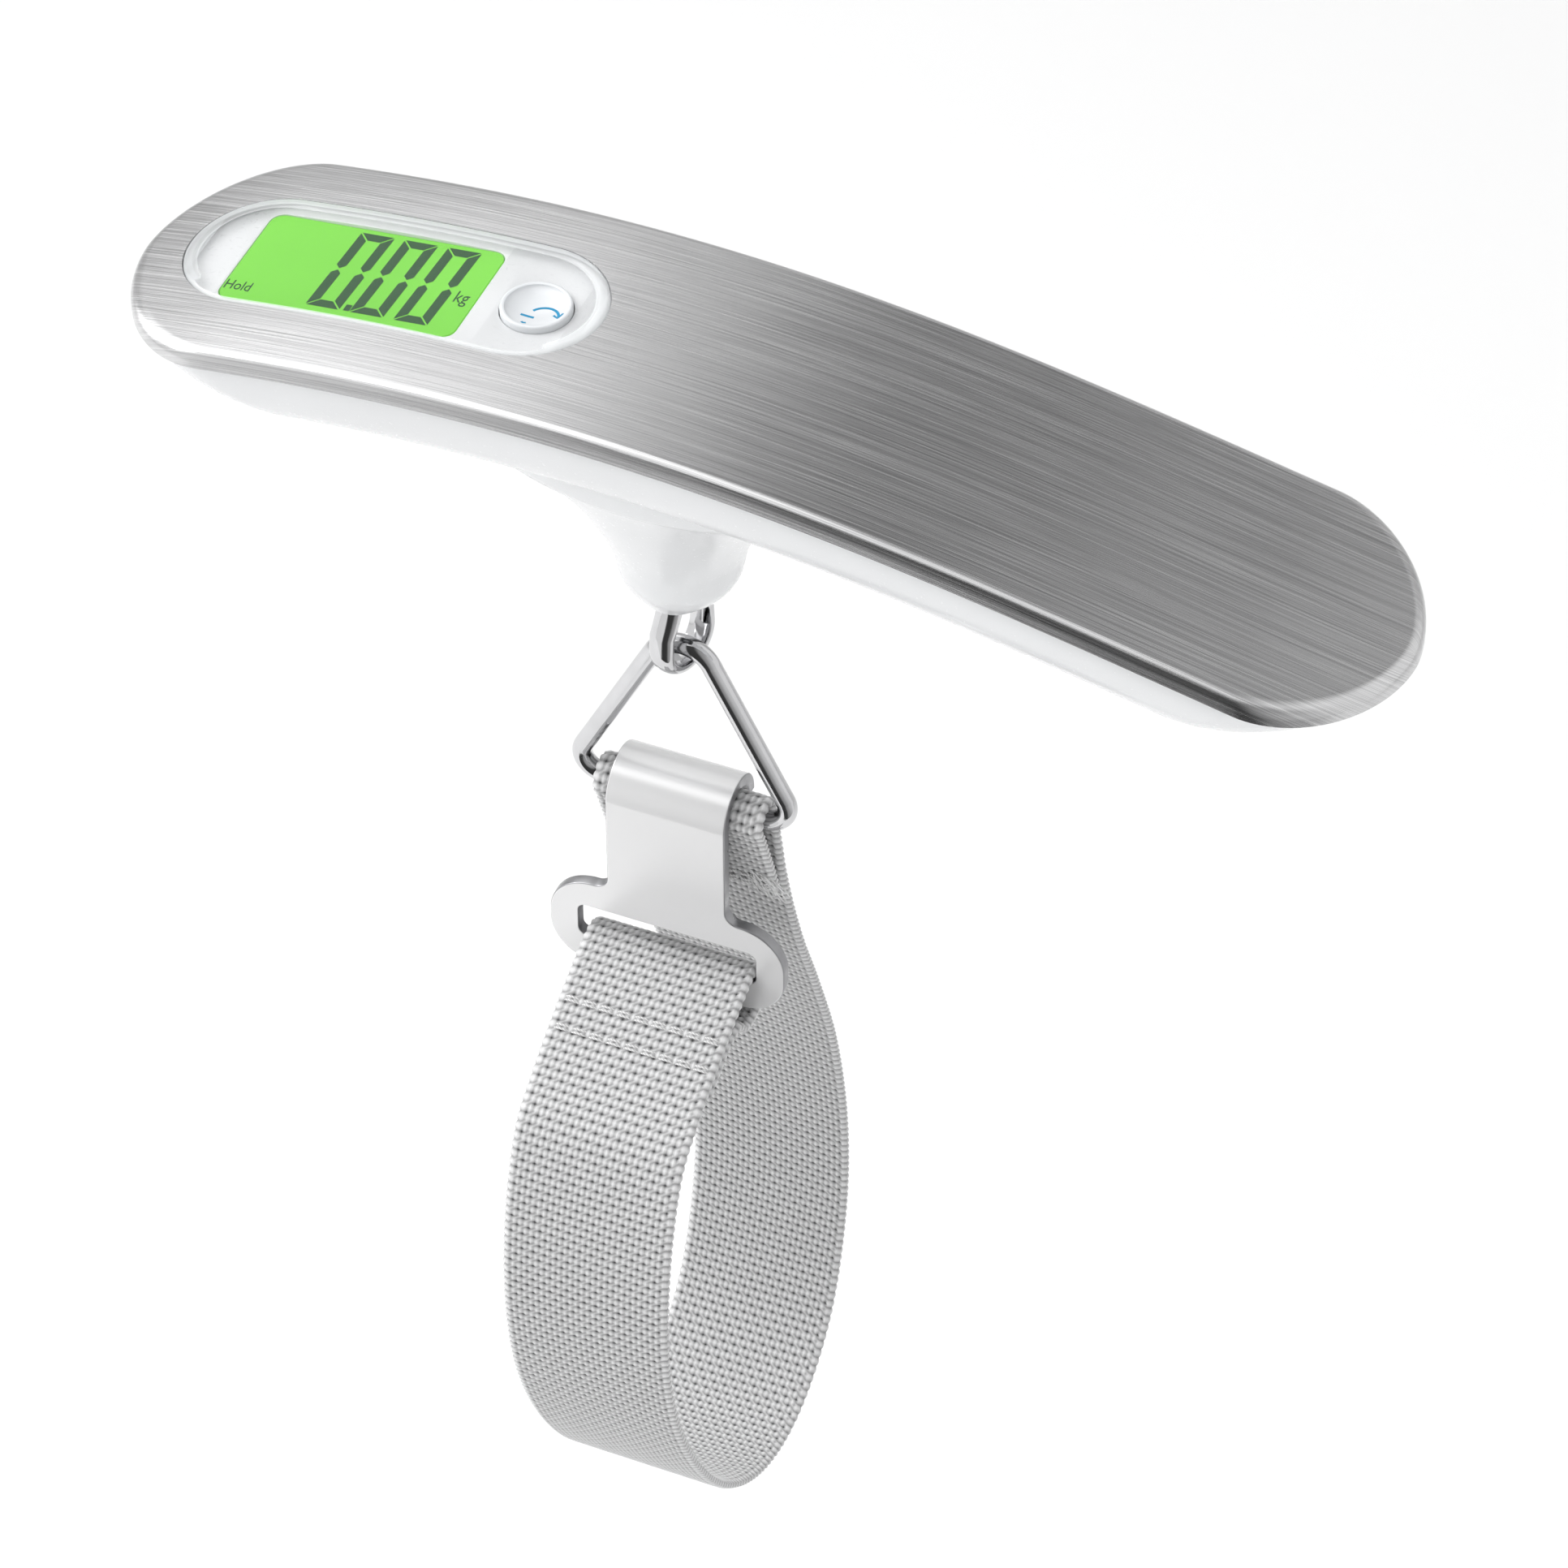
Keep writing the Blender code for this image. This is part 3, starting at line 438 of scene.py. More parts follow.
def skin(bm, rows, capped=True):
    """Faces between neighbouring rings of vertices, and over the two end rings if they are capped."""
    for low, high in zip(rows, rows[1:]):
        for i in range(len(low)):
            j = (i + 1) % len(low)
            bm.faces.new((low[i], low[j], high[j], high[i]))
    if capped:
        bm.faces.new(rows[0])
        bm.faces.new(rows[-1])
    return bm


def loft(loops):
    """A closed skin through a stack of outlines; strips from point i to point n - i fill the ends."""
    bm = bmesh.new()
    rows = [[bm.verts.new(p) for p in loop] for loop in loops]
    n = len(rows[0])
    skin(bm, rows, False)
    for row in (rows[0], rows[-1]):
        for i in range(n // 2):
            quad = [row[i], row[i + 1], row[(n - i - 1) % n], row[(n - i) % n]]
            bm.faces.new(list(dict.fromkeys(quad)))
    return bm


def draped(outline, depth):
    """An outline laid at a depth below the handle's top."""
    return [(x, y, top_z(x) - depth) for x, y in outline]


def level(outline, z):
    """An outline laid flat at a height."""
    return [(x, y, z) for x, y in outline]


def ellipse(z, rx, ry, steps=72):
    """A level ring about the Z axis."""
    return [(rx * math.cos(2 * math.pi * i / steps), ry * math.sin(2 * math.pi * i / steps), z)
            for i in range(steps)]


def turned(profile, steps=96):
    """A (radius, height) profile turned about Z; it closes itself unless it starts on the axis."""
    bm = bmesh.new()
    rows = []
    for radius, height in profile:
        if radius < 1e-6:
            rows.append([bm.verts.new((0, 0, height))])
            continue
        rows.append([bm.verts.new(p) for p in ellipse(height, radius, radius, steps)])
    pairs = list(zip(rows, rows[1:]))
    if len(rows[0]) > 1:
        pairs.append((rows[-1], rows[0]))
    for low, high in pairs:
        for i in range(steps):
            j = (i + 1) % steps
            if len(low) == 1:
                bm.faces.new((low[0], high[j], high[i]))
            elif len(high) == 1:
                bm.faces.new((low[i], low[j], high[0]))
            else:
                bm.faces.new((low[i], low[j], high[j], high[i]))
    return bm


def rod(radius, low, high, steps=64):
    """A round bar along Z."""
    return turned(((0, low), (radius, low), (radius, high), (0, high)), steps)


def block(size, low, high):
    """A box about the Z axis, from one height to another."""
    bm = bmesh.new()
    bmesh.ops.create_cube(bm, size=1.0)
    for v in bm.verts:
        v.co = Vector((v.co.x * size[0], v.co.y * size[1], v.co.z * (high - low) + (low + high) / 2))
    return bm


def catmull(points, steps):
    """A smooth curve through points."""
    line = []
    ends = [points[0]] + list(points) + [points[-1]]
    for a, b, c, d in zip(ends, ends[1:], ends[2:], ends[3:]):
        for i in range(steps):
            t = i / steps
            line.append(tuple(
                0.5 * (2 * q + (r - p) * t + (2 * p - 5 * q + 4 * r - s) * t * t
                       + (3 * q - p - 3 * r + s) * t ** 3)
                for p, q, r, s in zip(a, b, c, d)
            ))
    line.append(tuple(points[-1]))
    return line


def arc(cy, cz, radius, start, end, steps):
    """Points on a circle between two angles in degrees."""
    out = []
    for i in range(steps + 1):
        a = math.radians(start + (end - start) * i / steps)
        out.append((cy + radius * math.cos(a), cz + radius * math.sin(a)))
    return out


def resampled(path, step):
    """Even steps along a line; returns the points and the true step."""
    pts = [Vector(p) for p in path]
    lengths = [0.0]
    for a, b in zip(pts, pts[1:]):
        lengths.append(lengths[-1] + (b - a).length)
    count = max(2, round(lengths[-1] / step))
    out = []
    k = 0
    for i in range(count + 1):
        s = lengths[-1] * i / count
        while k < len(pts) - 2 and lengths[k + 1] < s:
            k += 1
        t = (s - lengths[k]) / max(1e-9, lengths[k + 1] - lengths[k])
        out.append(pts[k].lerp(pts[k + 1], t))
    return out, lengths[-1] / count


def tube(path, radius, steps=12, closed=False):
    """A round wire; radius may be a list, one for each point."""
    bm = bmesh.new()
    rows = []
    count = len(path)
    side = None
    for i, p in enumerate(path):
        before = path[i - 1] if closed or i else path[0]
        after = path[(i + 1) % count] if closed or i < count - 1 else path[-1]
        along = (Vector(after) - Vector(before)).normalized()
        if side is None:
            side = along.orthogonal().normalized()
        side = (side - along * side.dot(along)).normalized()
        other = along.cross(side)
        r = radius[i] if isinstance(radius, list) else radius
        rows.append([bm.verts.new(Vector(p) + (side * math.cos(2 * math.pi * k / steps)
                                               + other * math.sin(2 * math.pi * k / steps)) * r)
                     for k in range(steps)])
    return skin(bm, rows + rows[:1], False) if closed else skin(bm, rows)


def swept(path, section):
    """Carry a section of (X, offset to the path's left) points along a (Y, Z) path."""
    bm = bmesh.new()
    rows = []
    for i, (y, z) in enumerate(path):
        before = path[max(i - 1, 0)]
        after = path[min(i + 1, len(path) - 1)]
        dy, dz = after[0] - before[0], after[1] - before[1]
        size = math.hypot(dy, dz)
        rows.append([bm.verts.new((x, y - dz / size * n, z + dy / size * n)) for x, n in section])
    return skin(bm, rows)


def merge(parts):
    """Several meshes as one."""
    out = bmesh.new()
    for part in parts:
        mesh = bpy.data.meshes.new("part")
        part.to_mesh(mesh)
        part.free()
        out.from_mesh(mesh)
        bpy.data.meshes.remove(mesh)
    return out


# ================================================================ camera, stage, light

AZIMUTH, ELEVATION = math.radians(22.44), math.radians(44.5)
CAMERA_DISTANCE = 0.625
FOCAL_LENGTH = 138.7
look = -Vector((math.sin(AZIMUTH) * math.cos(ELEVATION), -math.cos(AZIMUTH) * math.cos(ELEVATION),
                math.sin(ELEVATION)))
right = Vector((math.cos(AZIMUTH), math.sin(AZIMUTH), 0))
up = right.cross(look)
camera_data = bpy.data.cameras.new("camera")
camera_data.lens = FOCAL_LENGTH
camera_data.sensor_width = 36.0
camera_data.clip_start = 0.01
camera_data.clip_end = 20.0
camera = bpy.data.objects.new("camera", camera_data)
bpy.context.scene.collection.objects.link(camera)
aim_at = Vector((0.010, 0, 0)) + right * 0.00182 - up * 0.04296
facing = Matrix((right, up, -look)).transposed().to_4x4()
camera.matrix_world = Matrix.Translation(aim_at - look * CAMERA_DISTANCE) @ facing
bpy.context.scene.camera = camera


def area_light(name, place, target, size, power, mirrored_in_metal=True):
    data = bpy.data.lights.new(name, "AREA")
    data.shape = "RECTANGLE"
    data.size, data.size_y = size
    data.energy = power
    obj = bpy.data.objects.new(name, data)
    bpy.context.scene.collection.objects.link(obj)
    aim = (Vector(target) - Vector(place)).to_track_quat("-Z", "Y")
    obj.matrix_world = Matrix.Translation(place) @ aim.to_matrix().to_4x4()
    obj.visible_glossy = mirrored_in_metal
    return obj


area_light("side", (-1.2, -0.1, 0.9), (0, 0, -0.03), (0.7, 0.9), 10.0)
area_light("overhead", (-0.3, -0.28, 1.3), (0, 0, -0.05), (1.5, 1.1), 5.5)
area_light("fill", (0.15, -1.4, 0.05), (0, 0, -0.09), (1.6, 1.1), 10.0, False)

bpy.context.scene.view_settings.view_transform = "Standard"
world = bpy.data.worlds.new("studio")
bpy.context.scene.world = world
world.use_nodes = True
sky_tree = world.node_tree
sky = sky_tree.nodes["Background"]
place = sky_tree.nodes.new("ShaderNodeTexCoord")
parts = sky_tree.nodes.new("ShaderNodeSeparateXYZ")
sky_tree.links.new(place.outputs["Generated"], parts.inputs["Vector"])


def wall(axis, stops):
    """Brightness along one axis of the room, from -1 to 1."""
    span = sky_tree.nodes.new("ShaderNodeMapRange")
    span.inputs["From Min"].default_value = -1.0
    span.inputs["From Max"].default_value = 1.0
    shades = sky_tree.nodes.new("ShaderNodeValToRGB")
    shades.color_ramp.interpolation = "EASE"
    while len(shades.color_ramp.elements) < len(stops):
        shades.color_ramp.elements.new(0.5)
    for element, (position, value) in zip(shades.color_ramp.elements, stops):
        element.position = position
        element.color = (value, value, value, 1.0)
    sky_tree.links.new(parts.outputs[axis], span.inputs["Value"])
    sky_tree.links.new(span.outputs["Result"], shades.inputs["Fac"])
    return shades.outputs["Color"]


def blended(factor, a, b):
    node = sky_tree.nodes.new("ShaderNodeMix")
    node.data_type = "RGBA"
    sky_tree.links.new(factor, node.inputs[0])
    sky_tree.links.new(a, node.inputs[6])
    sky_tree.links.new(b, node.inputs[7])
    return node.outputs[2]


# Where along X the walls are light and dark: in front of the object, and behind it.
front_side = wall("X", (
    (0.0, 1.0), (0.335, 1.0), (0.362, 0.12), (0.40, 0.05), (0.60, 0.06), (0.75, 0.4), (1.0, 0.8),
))
far_side = wall("X", (
    (0.0, 2.2), (0.22, 2.1), (0.31, 1.35), (0.37, 0.85), (0.44, 0.2), (0.53, 0.25), (0.59, 0.62), (0.75, 1.0),
    (1.0, 1.0),
))
front_to_back = wall("Y", ((0.0, 0.0), (0.36, 0.0), (0.50, 1.0), (1.0, 1.0)))
sky_tree.links.new(blended(front_to_back, front_side, far_side), sky.inputs["Color"])
sky.inputs["Strength"].default_value = 1.0

# The floor runs from an edge in front of the object to a wall behind it, and curves up into the wall.
TABLE_EDGE = 0.282
FLOOR_BACK = -1.6
FLOOR_Z = -0.42
FLOOR_CURVE = 0.8
FLOOR_HALF_WIDTH = 3.0
WALL_TOP = 1.6
toward = Vector((math.sin(AZIMUTH), -math.cos(AZIMUTH), 0))
floor_mesh = bpy.data.meshes.new("floor")
fb = bmesh.new()
sweep = [(TABLE_EDGE, FLOOR_Z)]
for a in quarter(16):
    sweep.append((FLOOR_BACK - FLOOR_CURVE * math.sin(a), FLOOR_Z + FLOOR_CURVE - FLOOR_CURVE * math.cos(a)))
sweep.append((FLOOR_BACK - FLOOR_CURVE, WALL_TOP))
rows = []
for t, z in sweep:
    middle = toward * t + Vector((0, 0, z))
    rows.append([fb.verts.new(middle + right * side) for side in (-FLOOR_HALF_WIDTH, FLOOR_HALF_WIDTH)])
for low, high in zip(rows, rows[1:]):
    fb.faces.new((low[0], low[1], high[1], high[0]))
fb.to_mesh(floor_mesh)
fb.free()
floor = bpy.data.objects.new("floor", floor_mesh)
bpy.context.scene.collection.objects.link(floor)
for poly in floor_mesh.polygons:
    poly.use_smooth = True
floor_mesh.materials.append(new_material("floor_white", (0.92, 0.92, 0.92), 0.9)[0])

# ================================================================ steel cover

ROUND = 1.3
COVER_WALL = 0.7
INNER_ROUND = 0.6
EDGE_BREAK = 0.1
cover_line = [(ROUND * (1 - math.sin(a)), ROUND * (1 - math.cos(a))) for a in quarter(10)]
cover_line += [(0, SKIRT - 0.12), (EDGE_BREAK, SKIRT), (0.6, SKIRT), (COVER_WALL, SKIRT - EDGE_BREAK)]
cover_line += [(COVER_WALL + INNER_ROUND * (1 - math.sin(a)), COVER_WALL + INNER_ROUND * (1 - math.cos(a)))
               for a in reversed(quarter(5))]
loops = [draped(handle_loop(inset, inset), depth) for inset, depth in cover_line]
cover = add("cover_skin", loft(loops), STEEL, "casing", ["steel_cover"])
window = stadium_loop(WINDOW_X, WINDOW_HALF, WINDOW_RADIUS)
cut(cover, raw(loft([draped(window, -2.0), draped(window, 3.0)])))
shade(cover, 32.0)
uv = cover.data.uv_layers.new(name="brush")
for item in cover.data.loops:
    co = cover.data.vertices[item.vertex_index].co
    drop = max(0.0, top_z(co.x / MM) * MM - co.z)
    uv.data[item.index].uv = (co.x, co.y + math.copysign(drop, co.y))

# ================================================================ white shell and neck

# Height, X radius and Y radius of the neck's rings, outside and then inside, and the slot's half sizes.
NECK_LINE = (
    (-7.0, 25.6, 14.4), (-12.2, 24.6, 13.8), (-13.2, 21.6, 13.2), (-14.4, 18.4, 12.6), (-16.2, 15.2, 11.8),
    (-18.6, 12.4, 10.8), (-21.4, 10.2, 9.7), (-24.4, 8.5, 8.5), (-27.2, 7.4, 7.5), (-29.4, 7.0, 7.1),
    (-30.8, 6.65, 6.75), (-32.0, 6.0, 6.15), (-33.1, 5.1, 5.4), (-34.0, 3.9, 4.8),
)
NECK_BORE = (
    (-14.4, 14.2, 10.0), (-16.6, 12.0, 9.1), (-19.0, 9.8, 8.3), (-21.8, 7.9, 7.4), (-24.8, 6.4, 6.5),
    (-27.4, 5.5, 5.8), (-29.4, 5.1, 5.4), (-30.6, 4.7, 5.0),
)
NECK_SLOT = (2.9, 4.1)
SLOT_CORNER = 0.9
RIM_STEP, RIM_GAP = 0.5, 0.25
KEEL_HALF = 3.0
HULL_POWER = 2.4
BAY_PLAY = 0.5
DOOR_SEAT = 1.5
SCREW_SOCKET = 2.2
CROSS = (2.1, 0.42)
COIN_SLOT = (2.0, 14.0)


def hull_loops(steps):
    """Outlines of the shell from its rim, just under the cover's skirt, down to its keel."""
    out = []
    for a in quarter(steps):
        half = HANDLE_WIDTH / 2 - RIM_STEP - KEEL_HALF
        half_y = KEEL_HALF + half * math.cos(a) ** (2 / HULL_POWER)
        inset_x = RIM_STEP + 23.4 * math.sin(a / 2) ** 0.9
        depth = SKIRT + RIM_GAP + (SHELL_DEPTH - SKIRT - RIM_GAP) * math.sin(a) ** (2 / HULL_POWER)
        out.append(draped(handle_loop(0, inset_x, half_y), depth))
    return out


shell = add("shell_skin", loft(hull_loops(24)), SHELL, "casing", ["lower_shell"])
cut(shell, raw(loft([ellipse(*p) for p in catmull(NECK_LINE, 4)])), "UNION")

bay_frame = frame_at(BAY_X)


def dropped(bm, x=0.0, y=0.0, z=0.0):
    """Shift a mesh."""
    bmesh.ops.translate(bm, verts=bm.verts, vec=(x, y, z))
    return bm


def placed(bm, matrix):
    """Move a mesh in millimetres by a frame in metres."""
    shift = Matrix.Translation(matrix.translation / MM) @ matrix.to_3x3().to_4x4()
    bmesh.ops.transform(bm, matrix=shift, verts=bm.verts)
    return bm


slot_x, slot_y = NECK_SLOT[0] - SLOT_CORNER, NECK_SLOT[1] - SLOT_CORNER
slot_walls = []
for turn, (sx, sy) in enumerate(((1, 1), (-1, 1), (-1, -1), (1, -1))):
    for a in [math.pi / 2 * (turn + k / 6) for k in range(7)]:
        slot_walls.append((sx * slot_x + SLOT_CORNER * math.cos(a), sy * slot_y + SLOT_CORNER * math.sin(a)))
openings = [
    loft([ellipse(*p) for p in NECK_BORE]),
    placed(rod(COIN_RADIUS + BAY_PLAY, -12.0, -5.0, 96), bay_frame),
    placed(rod(COIN_RADIUS + DOOR_SEAT, -20.0, -11.6, 96), bay_frame),
    loft([level(slot_walls, -28.0), level(slot_walls, -40.0)]),
]
for hole in openings:
    cut(shell, raw(hole))
sockets = []
for x, y, head in CASE_SCREWS:
    sockets.append(dropped(rod(SCREW_SOCKET, -20.0, -head, 40), x, y, top_z(x)))
cut(shell, raw(merge(sockets)))
shade(shell, 40.0)


def screw_head(head):
    """A small case screw, with its domed head facing down at a depth."""
    low = -head - 1.3
    dome = [(0, low - 0.05), (0.8, low), (1.45, low + 0.12), (1.78, low + 0.35), (1.9, low + 0.6)]
    dome += [(1.9, -head - 0.3), (0.95, -head - 0.3), (0.95, -2.9), (0, -2.7)]
    return turned(dome, 48)


for index, (x, y, head) in enumerate(CASE_SCREWS, 1):
    screw = add(f"screw_{index}_skin", dropped(screw_head(head), x, y, top_z(x)), HEAD, "casing",
                [f"case_screw_{index}"])
    low = top_z(x) - head - 1.5
    for arm in (CROSS, CROSS[::-1]):
        cut(screw, raw(dropped(block(arm, low, low + 0.75), x, y)))
    shade(screw, 32.0)

door_line = [(0, -10.9), (COIN_RADIUS + 0.1, -10.9), (COIN_RADIUS + 0.1, -11.9), (COIN_RADIUS + 1.2, -11.9),
             (COIN_RADIUS + 1.2, -15.0), (0, -15.0)]
door = add("door_skin", turned(door_line, 128), SHELL, "battery_door", ["battery_cover"],
           bay_frame)
cut(door, raw(loft(hull_loops(40))), "INTERSECT")
cut(door, raw(placed(block(COIN_SLOT, -18.0, -12.3), bay_frame)))
shade(door, 32.0)
bevelled(door, 0.15, 2, 50.0)

# ================================================================ display

lcd_frame = frame_at(LCD_X, DISPLAY_Y)
button_frame = frame_at(BUTTON_X, DISPLAY_Y)


LENS_GAP = 0.12
LENS_RISE = -0.27
LENS_ROUND = 0.45
LCD_PLAY = 0.3
INK = (LCD_TOP + 0.01, LCD_TOP + 0.04)
SLANT = 0.04


def window_line(inset, depth):
    return draped(stadium_loop(WINDOW_X, WINDOW_HALF - inset, WINDOW_RADIUS - inset), depth)


# Inset and depth of the lens: flat inside, a raised rim, a rounded edge.
rim = [(1.65, -0.04), (1.5, -0.05), (1.35, -0.12), (1.2, -0.22), (1.05, -0.26), (0.9, LENS_RISE)]
rim += [(LENS_GAP + LENS_ROUND * (1 - math.sin(a)), LENS_RISE + LENS_ROUND * (1 - math.cos(a)))
        for a in quarter(5)]
rim.append((LENS_GAP, 0.6))
lens = add("lens_skin", loft([window_line(*p) for p in rim]), LENS, "casing",
           ["display_lens"])
cut(lens, raw(rod(BUTTON_RADIUS + 0.2, -4, 4), button_frame))
shade(lens, 32.0)
lens.data.materials.append(LENS_RIM)
for poly in lens.data.polygons:
    across = max(0.0, abs(poly.center.x / MM - WINDOW_X) - (WINDOW_HALF - WINDOW_RADIUS))
    near_side = across < 5.0 and poly.center.y / MM < DISPLAY_Y - 4.0
    if WINDOW_RADIUS - math.hypot(across, poly.center.y / MM - DISPLAY_Y) < (0.5 if near_side else 1.6):
        poly.material_index = 1

outline = stadium_loop(WINDOW_X, WINDOW_HALF + 0.9, WINDOW_RADIUS + 0.9)
bezel = add("bezel_skin", loft([draped(outline, 1.0), draped(outline, 2.2)]), BEZEL, "casing",
            ["display_bezel"])
hole = rounded_rect(LCD_SIZE[0] + LCD_PLAY, LCD_SIZE[1] + LCD_PLAY, 1.5)
cut(bezel, raw(loft([level(hole, -6), level(hole, 2)]), lcd_frame))
cut(bezel, raw(rod(BUTTON_RADIUS + 0.12, -6, 4), button_frame))
shade(bezel, 30.0)
bevelled(bezel, 0.12, 2, 60.0)

glass = rounded_rect(*LCD_SIZE, 1.45)
add("lcd_panel", loft([level(glass, LCD_TOP), level(glass, LCD_TOP - 1.7)]), PANEL, "casing",
    ["lcd_glass"], lcd_frame)


def prism(points, low, high):
    """A flat outline given a thickness."""
    bm = bmesh.new()
    return skin(bm, [[bm.verts.new((x, y, z)) for x, y in points] for z in (low, high)])


def digit(cx, cy, w, h, bar, lit):
    """The lit bars of a seven-bar figure."""
    x0, x1 = cx - w / 2, cx + w / 2
    y0, y1 = cy - h / 2, cy + h / 2
    g = 0.13
    shapes = {
        "a": [(x0 + g, y1), (x1 - g, y1), (x1 - bar - g, y1 - bar), (x0 + bar + g, y1 - bar)],
        "d": [(x0 + g, y0), (x1 - g, y0), (x1 - bar - g, y0 + bar), (x0 + bar + g, y0 + bar)],
        "f": [(x0, y1 - g), (x0 + bar, y1 - bar - g), (x0 + bar, cy + g + bar / 2), (x0 + bar / 2, cy + g),
              (x0, cy + g + bar / 2)],
        "e": [(x0, y0 + g), (x0 + bar, y0 + bar + g), (x0 + bar, cy - g - bar / 2), (x0 + bar / 2, cy - g),
              (x0, cy - g - bar / 2)],
        "b": [(x1, y1 - g), (x1 - bar, y1 - bar - g), (x1 - bar, cy + g + bar / 2), (x1 - bar / 2, cy + g),
              (x1, cy + g + bar / 2)],
        "c": [(x1, y0 + g), (x1 - bar, y0 + bar + g), (x1 - bar, cy - g - bar / 2), (x1 - bar / 2, cy - g),
              (x1, cy - g - bar / 2)],
    }
    return [prism([(x + SLANT * (y - cy), y) for x, y in shapes[k]], *INK) for k in lit]


marks = []
for cx in (-1.45, 3.7, 8.85):
    marks += digit(cx, 0.3, 3.95, 12.9, 1.12, "abcdef")
marks.append(prism([(0.72, -6.1), (1.4, -6.1), (1.4, -5.1), (0.72, -5.1)], *INK))


def letters(text, x, y, size, narrow):
    """Plain lettering as a flat mesh."""
    data = bpy.data.curves.new("letters", "FONT")
    data.body = text
    data.size = size
    data.extrude = 0.012
    data.resolution_u = 3
    obj = bpy.data.objects.new("letters", data)
    bpy.context.scene.collection.objects.link(obj)
    bpy.context.view_layer.update()
    graph = bpy.context.evaluated_depsgraph_get()
    mesh = bpy.data.meshes.new_from_object(obj.evaluated_get(graph))
    bm = bmesh.new()
    bm.from_mesh(mesh)
    bmesh.ops.scale(bm, verts=bm.verts, vec=(narrow, 1.0, 1.0))
    bmesh.ops.translate(bm, verts=bm.verts, vec=(x, y, LCD_TOP + 0.025))
    bpy.data.meshes.remove(mesh)
    bpy.data.objects.remove(obj)
    return bm


marks.append(letters("Hold", -13.75, -5.85, 2.15, 0.74))
marks.append(letters("kg", 11.35, -1.65, 2.7, 0.7))
add("lcd_marks", merge(marks), SEGMENT, "casing", (), lcd_frame, weld=0.0001)

DISH_RADIUS, DISH_LOW, DISH_DEPTH = 3.4, -1.15, 0.85
dish = [(0, DISH_LOW)]
dish += [(DISH_RADIUS * math.sin(a), DISH_LOW + DISH_DEPTH * (1 - math.cos(a))) for a in quarter(12)[1:]]
dish += [(3.55, -0.24), (3.72, -0.24), (3.84, -0.32), (BUTTON_RADIUS, -0.46)]
dish += [(BUTTON_RADIUS, -2.5), (4.6, -2.5), (4.6, -2.9), (0, -2.9)]
add("button_skin", turned(dish), CAP, "button", ["button_cap"], button_frame, 50.0)


def dish_z(x, y):
    """Height of the button's dish."""
    s = min(1.0, math.hypot(x, y) / DISH_RADIUS)
    return DISH_LOW + DISH_DEPTH * (1 - math.sqrt(1 - s * s))


def stroke(points, width):
    """A flat painted line that follows the dish."""
    bm = bmesh.new()
    rows = []
    for i, p in enumerate(points):
        a, b = points[max(i - 1, 0)], points[min(i + 1, len(points) - 1)]
        d = (Vector(b) - Vector(a)).normalized()
        n = Vector((-d.y, d.x)) * width / 2
        ring = []
        for sign, lift in ((1, 0.02), (-1, 0.02), (-1, -0.05), (1, -0.05)):
            q = Vector(p) + n * sign
            ring.append(bm.verts.new((q.x, q.y, dish_z(q.x, q.y) + lift)))
        rows.append(ring)
    return skin(bm, rows)


# The button's sign: a curved arrow, a dash and a short stroke.
swing = [(1.1 + 1.65 * math.cos(a), -0.85 + 1.6 * math.sin(a)) for a in
         [math.radians(152 - 140 * i / 24) for i in range(25)]]
icon = [stroke(swing, 0.3)]
icon.append(stroke([(2.05, -0.25), (2.72, -0.75), (3.0, 0.1)], 0.26))
icon.append(stroke([(-1.3, -1.2), (-0.5, -1.2), (0.2, -1.2)], 0.32))
icon.append(stroke([(-0.65, -2.45), (-0.4, -2.6), (-0.15, -2.45)], 0.3))
add("button_icon", merge(icon), ICON, "button", (), button_frame, weld=0.0001)

# ================================================================ eye, ring, strap hook

LEG_Y = 2.5
EYE_RADIUS = 3.8
EYE_HALF = 1.5
PIN_RADIUS = 1.5
EYE_TWIST = math.radians(15.0)
EYE_STEPS = 44
TWIST_TOP, TWIST_LENGTH = -31.0, 8.0
path = [(-LEG_Y, PIN_Z + 3.0), (-LEG_Y, PIN_Z - 1.0), (-LEG_Y, TWIST_TOP)]
path += catmull([(-LEG_Y, -33.4), (-LEG_Y - 0.3, -35.8), (-3.68, -39.0)], 10)
path += arc(0, EYE_Z, EYE_RADIUS, 180, 360, EYE_STEPS)
path += [(-y, z) for y, z in reversed(path[:-EYE_STEPS - 1])]
# Across the band and out from its middle: flat inside, round outside.
section = [(x, 0.6) for x in (-1.36, 0.0, 1.36)] + [(1.45, 0.55), (1.5, 0.42)]
section += [(EYE_HALF * math.cos(a), 0.1 - 0.85 * math.sin(a)) for a in
            [math.radians(4 + 172 * i / 18) for i in range(19)]]
section += [(-1.5, 0.42), (-1.45, 0.55)]
band = swept(path, section)
for v in band.verts:
    share = min(1.0, max(0.0, (TWIST_TOP - v.co.z) / TWIST_LENGTH))
    v.co = Matrix.Rotation(-EYE_TWIST * share, 3, "Z") @ v.co
eye = add("eye_skin", band, CHROME, "eye", ["hook_eye"], angle=45.0)
bore = rod(PIN_RADIUS, -8.0, 8.0, 40)
bmesh.ops.rotate(bore, verts=bore.verts, cent=(0, 0, 0), matrix=Matrix.Rotation(math.pi / 2, 3, "X"))
cut(eye, raw(dropped(bore, 0, 0, PIN_Z)))
shade(eye, 45.0)


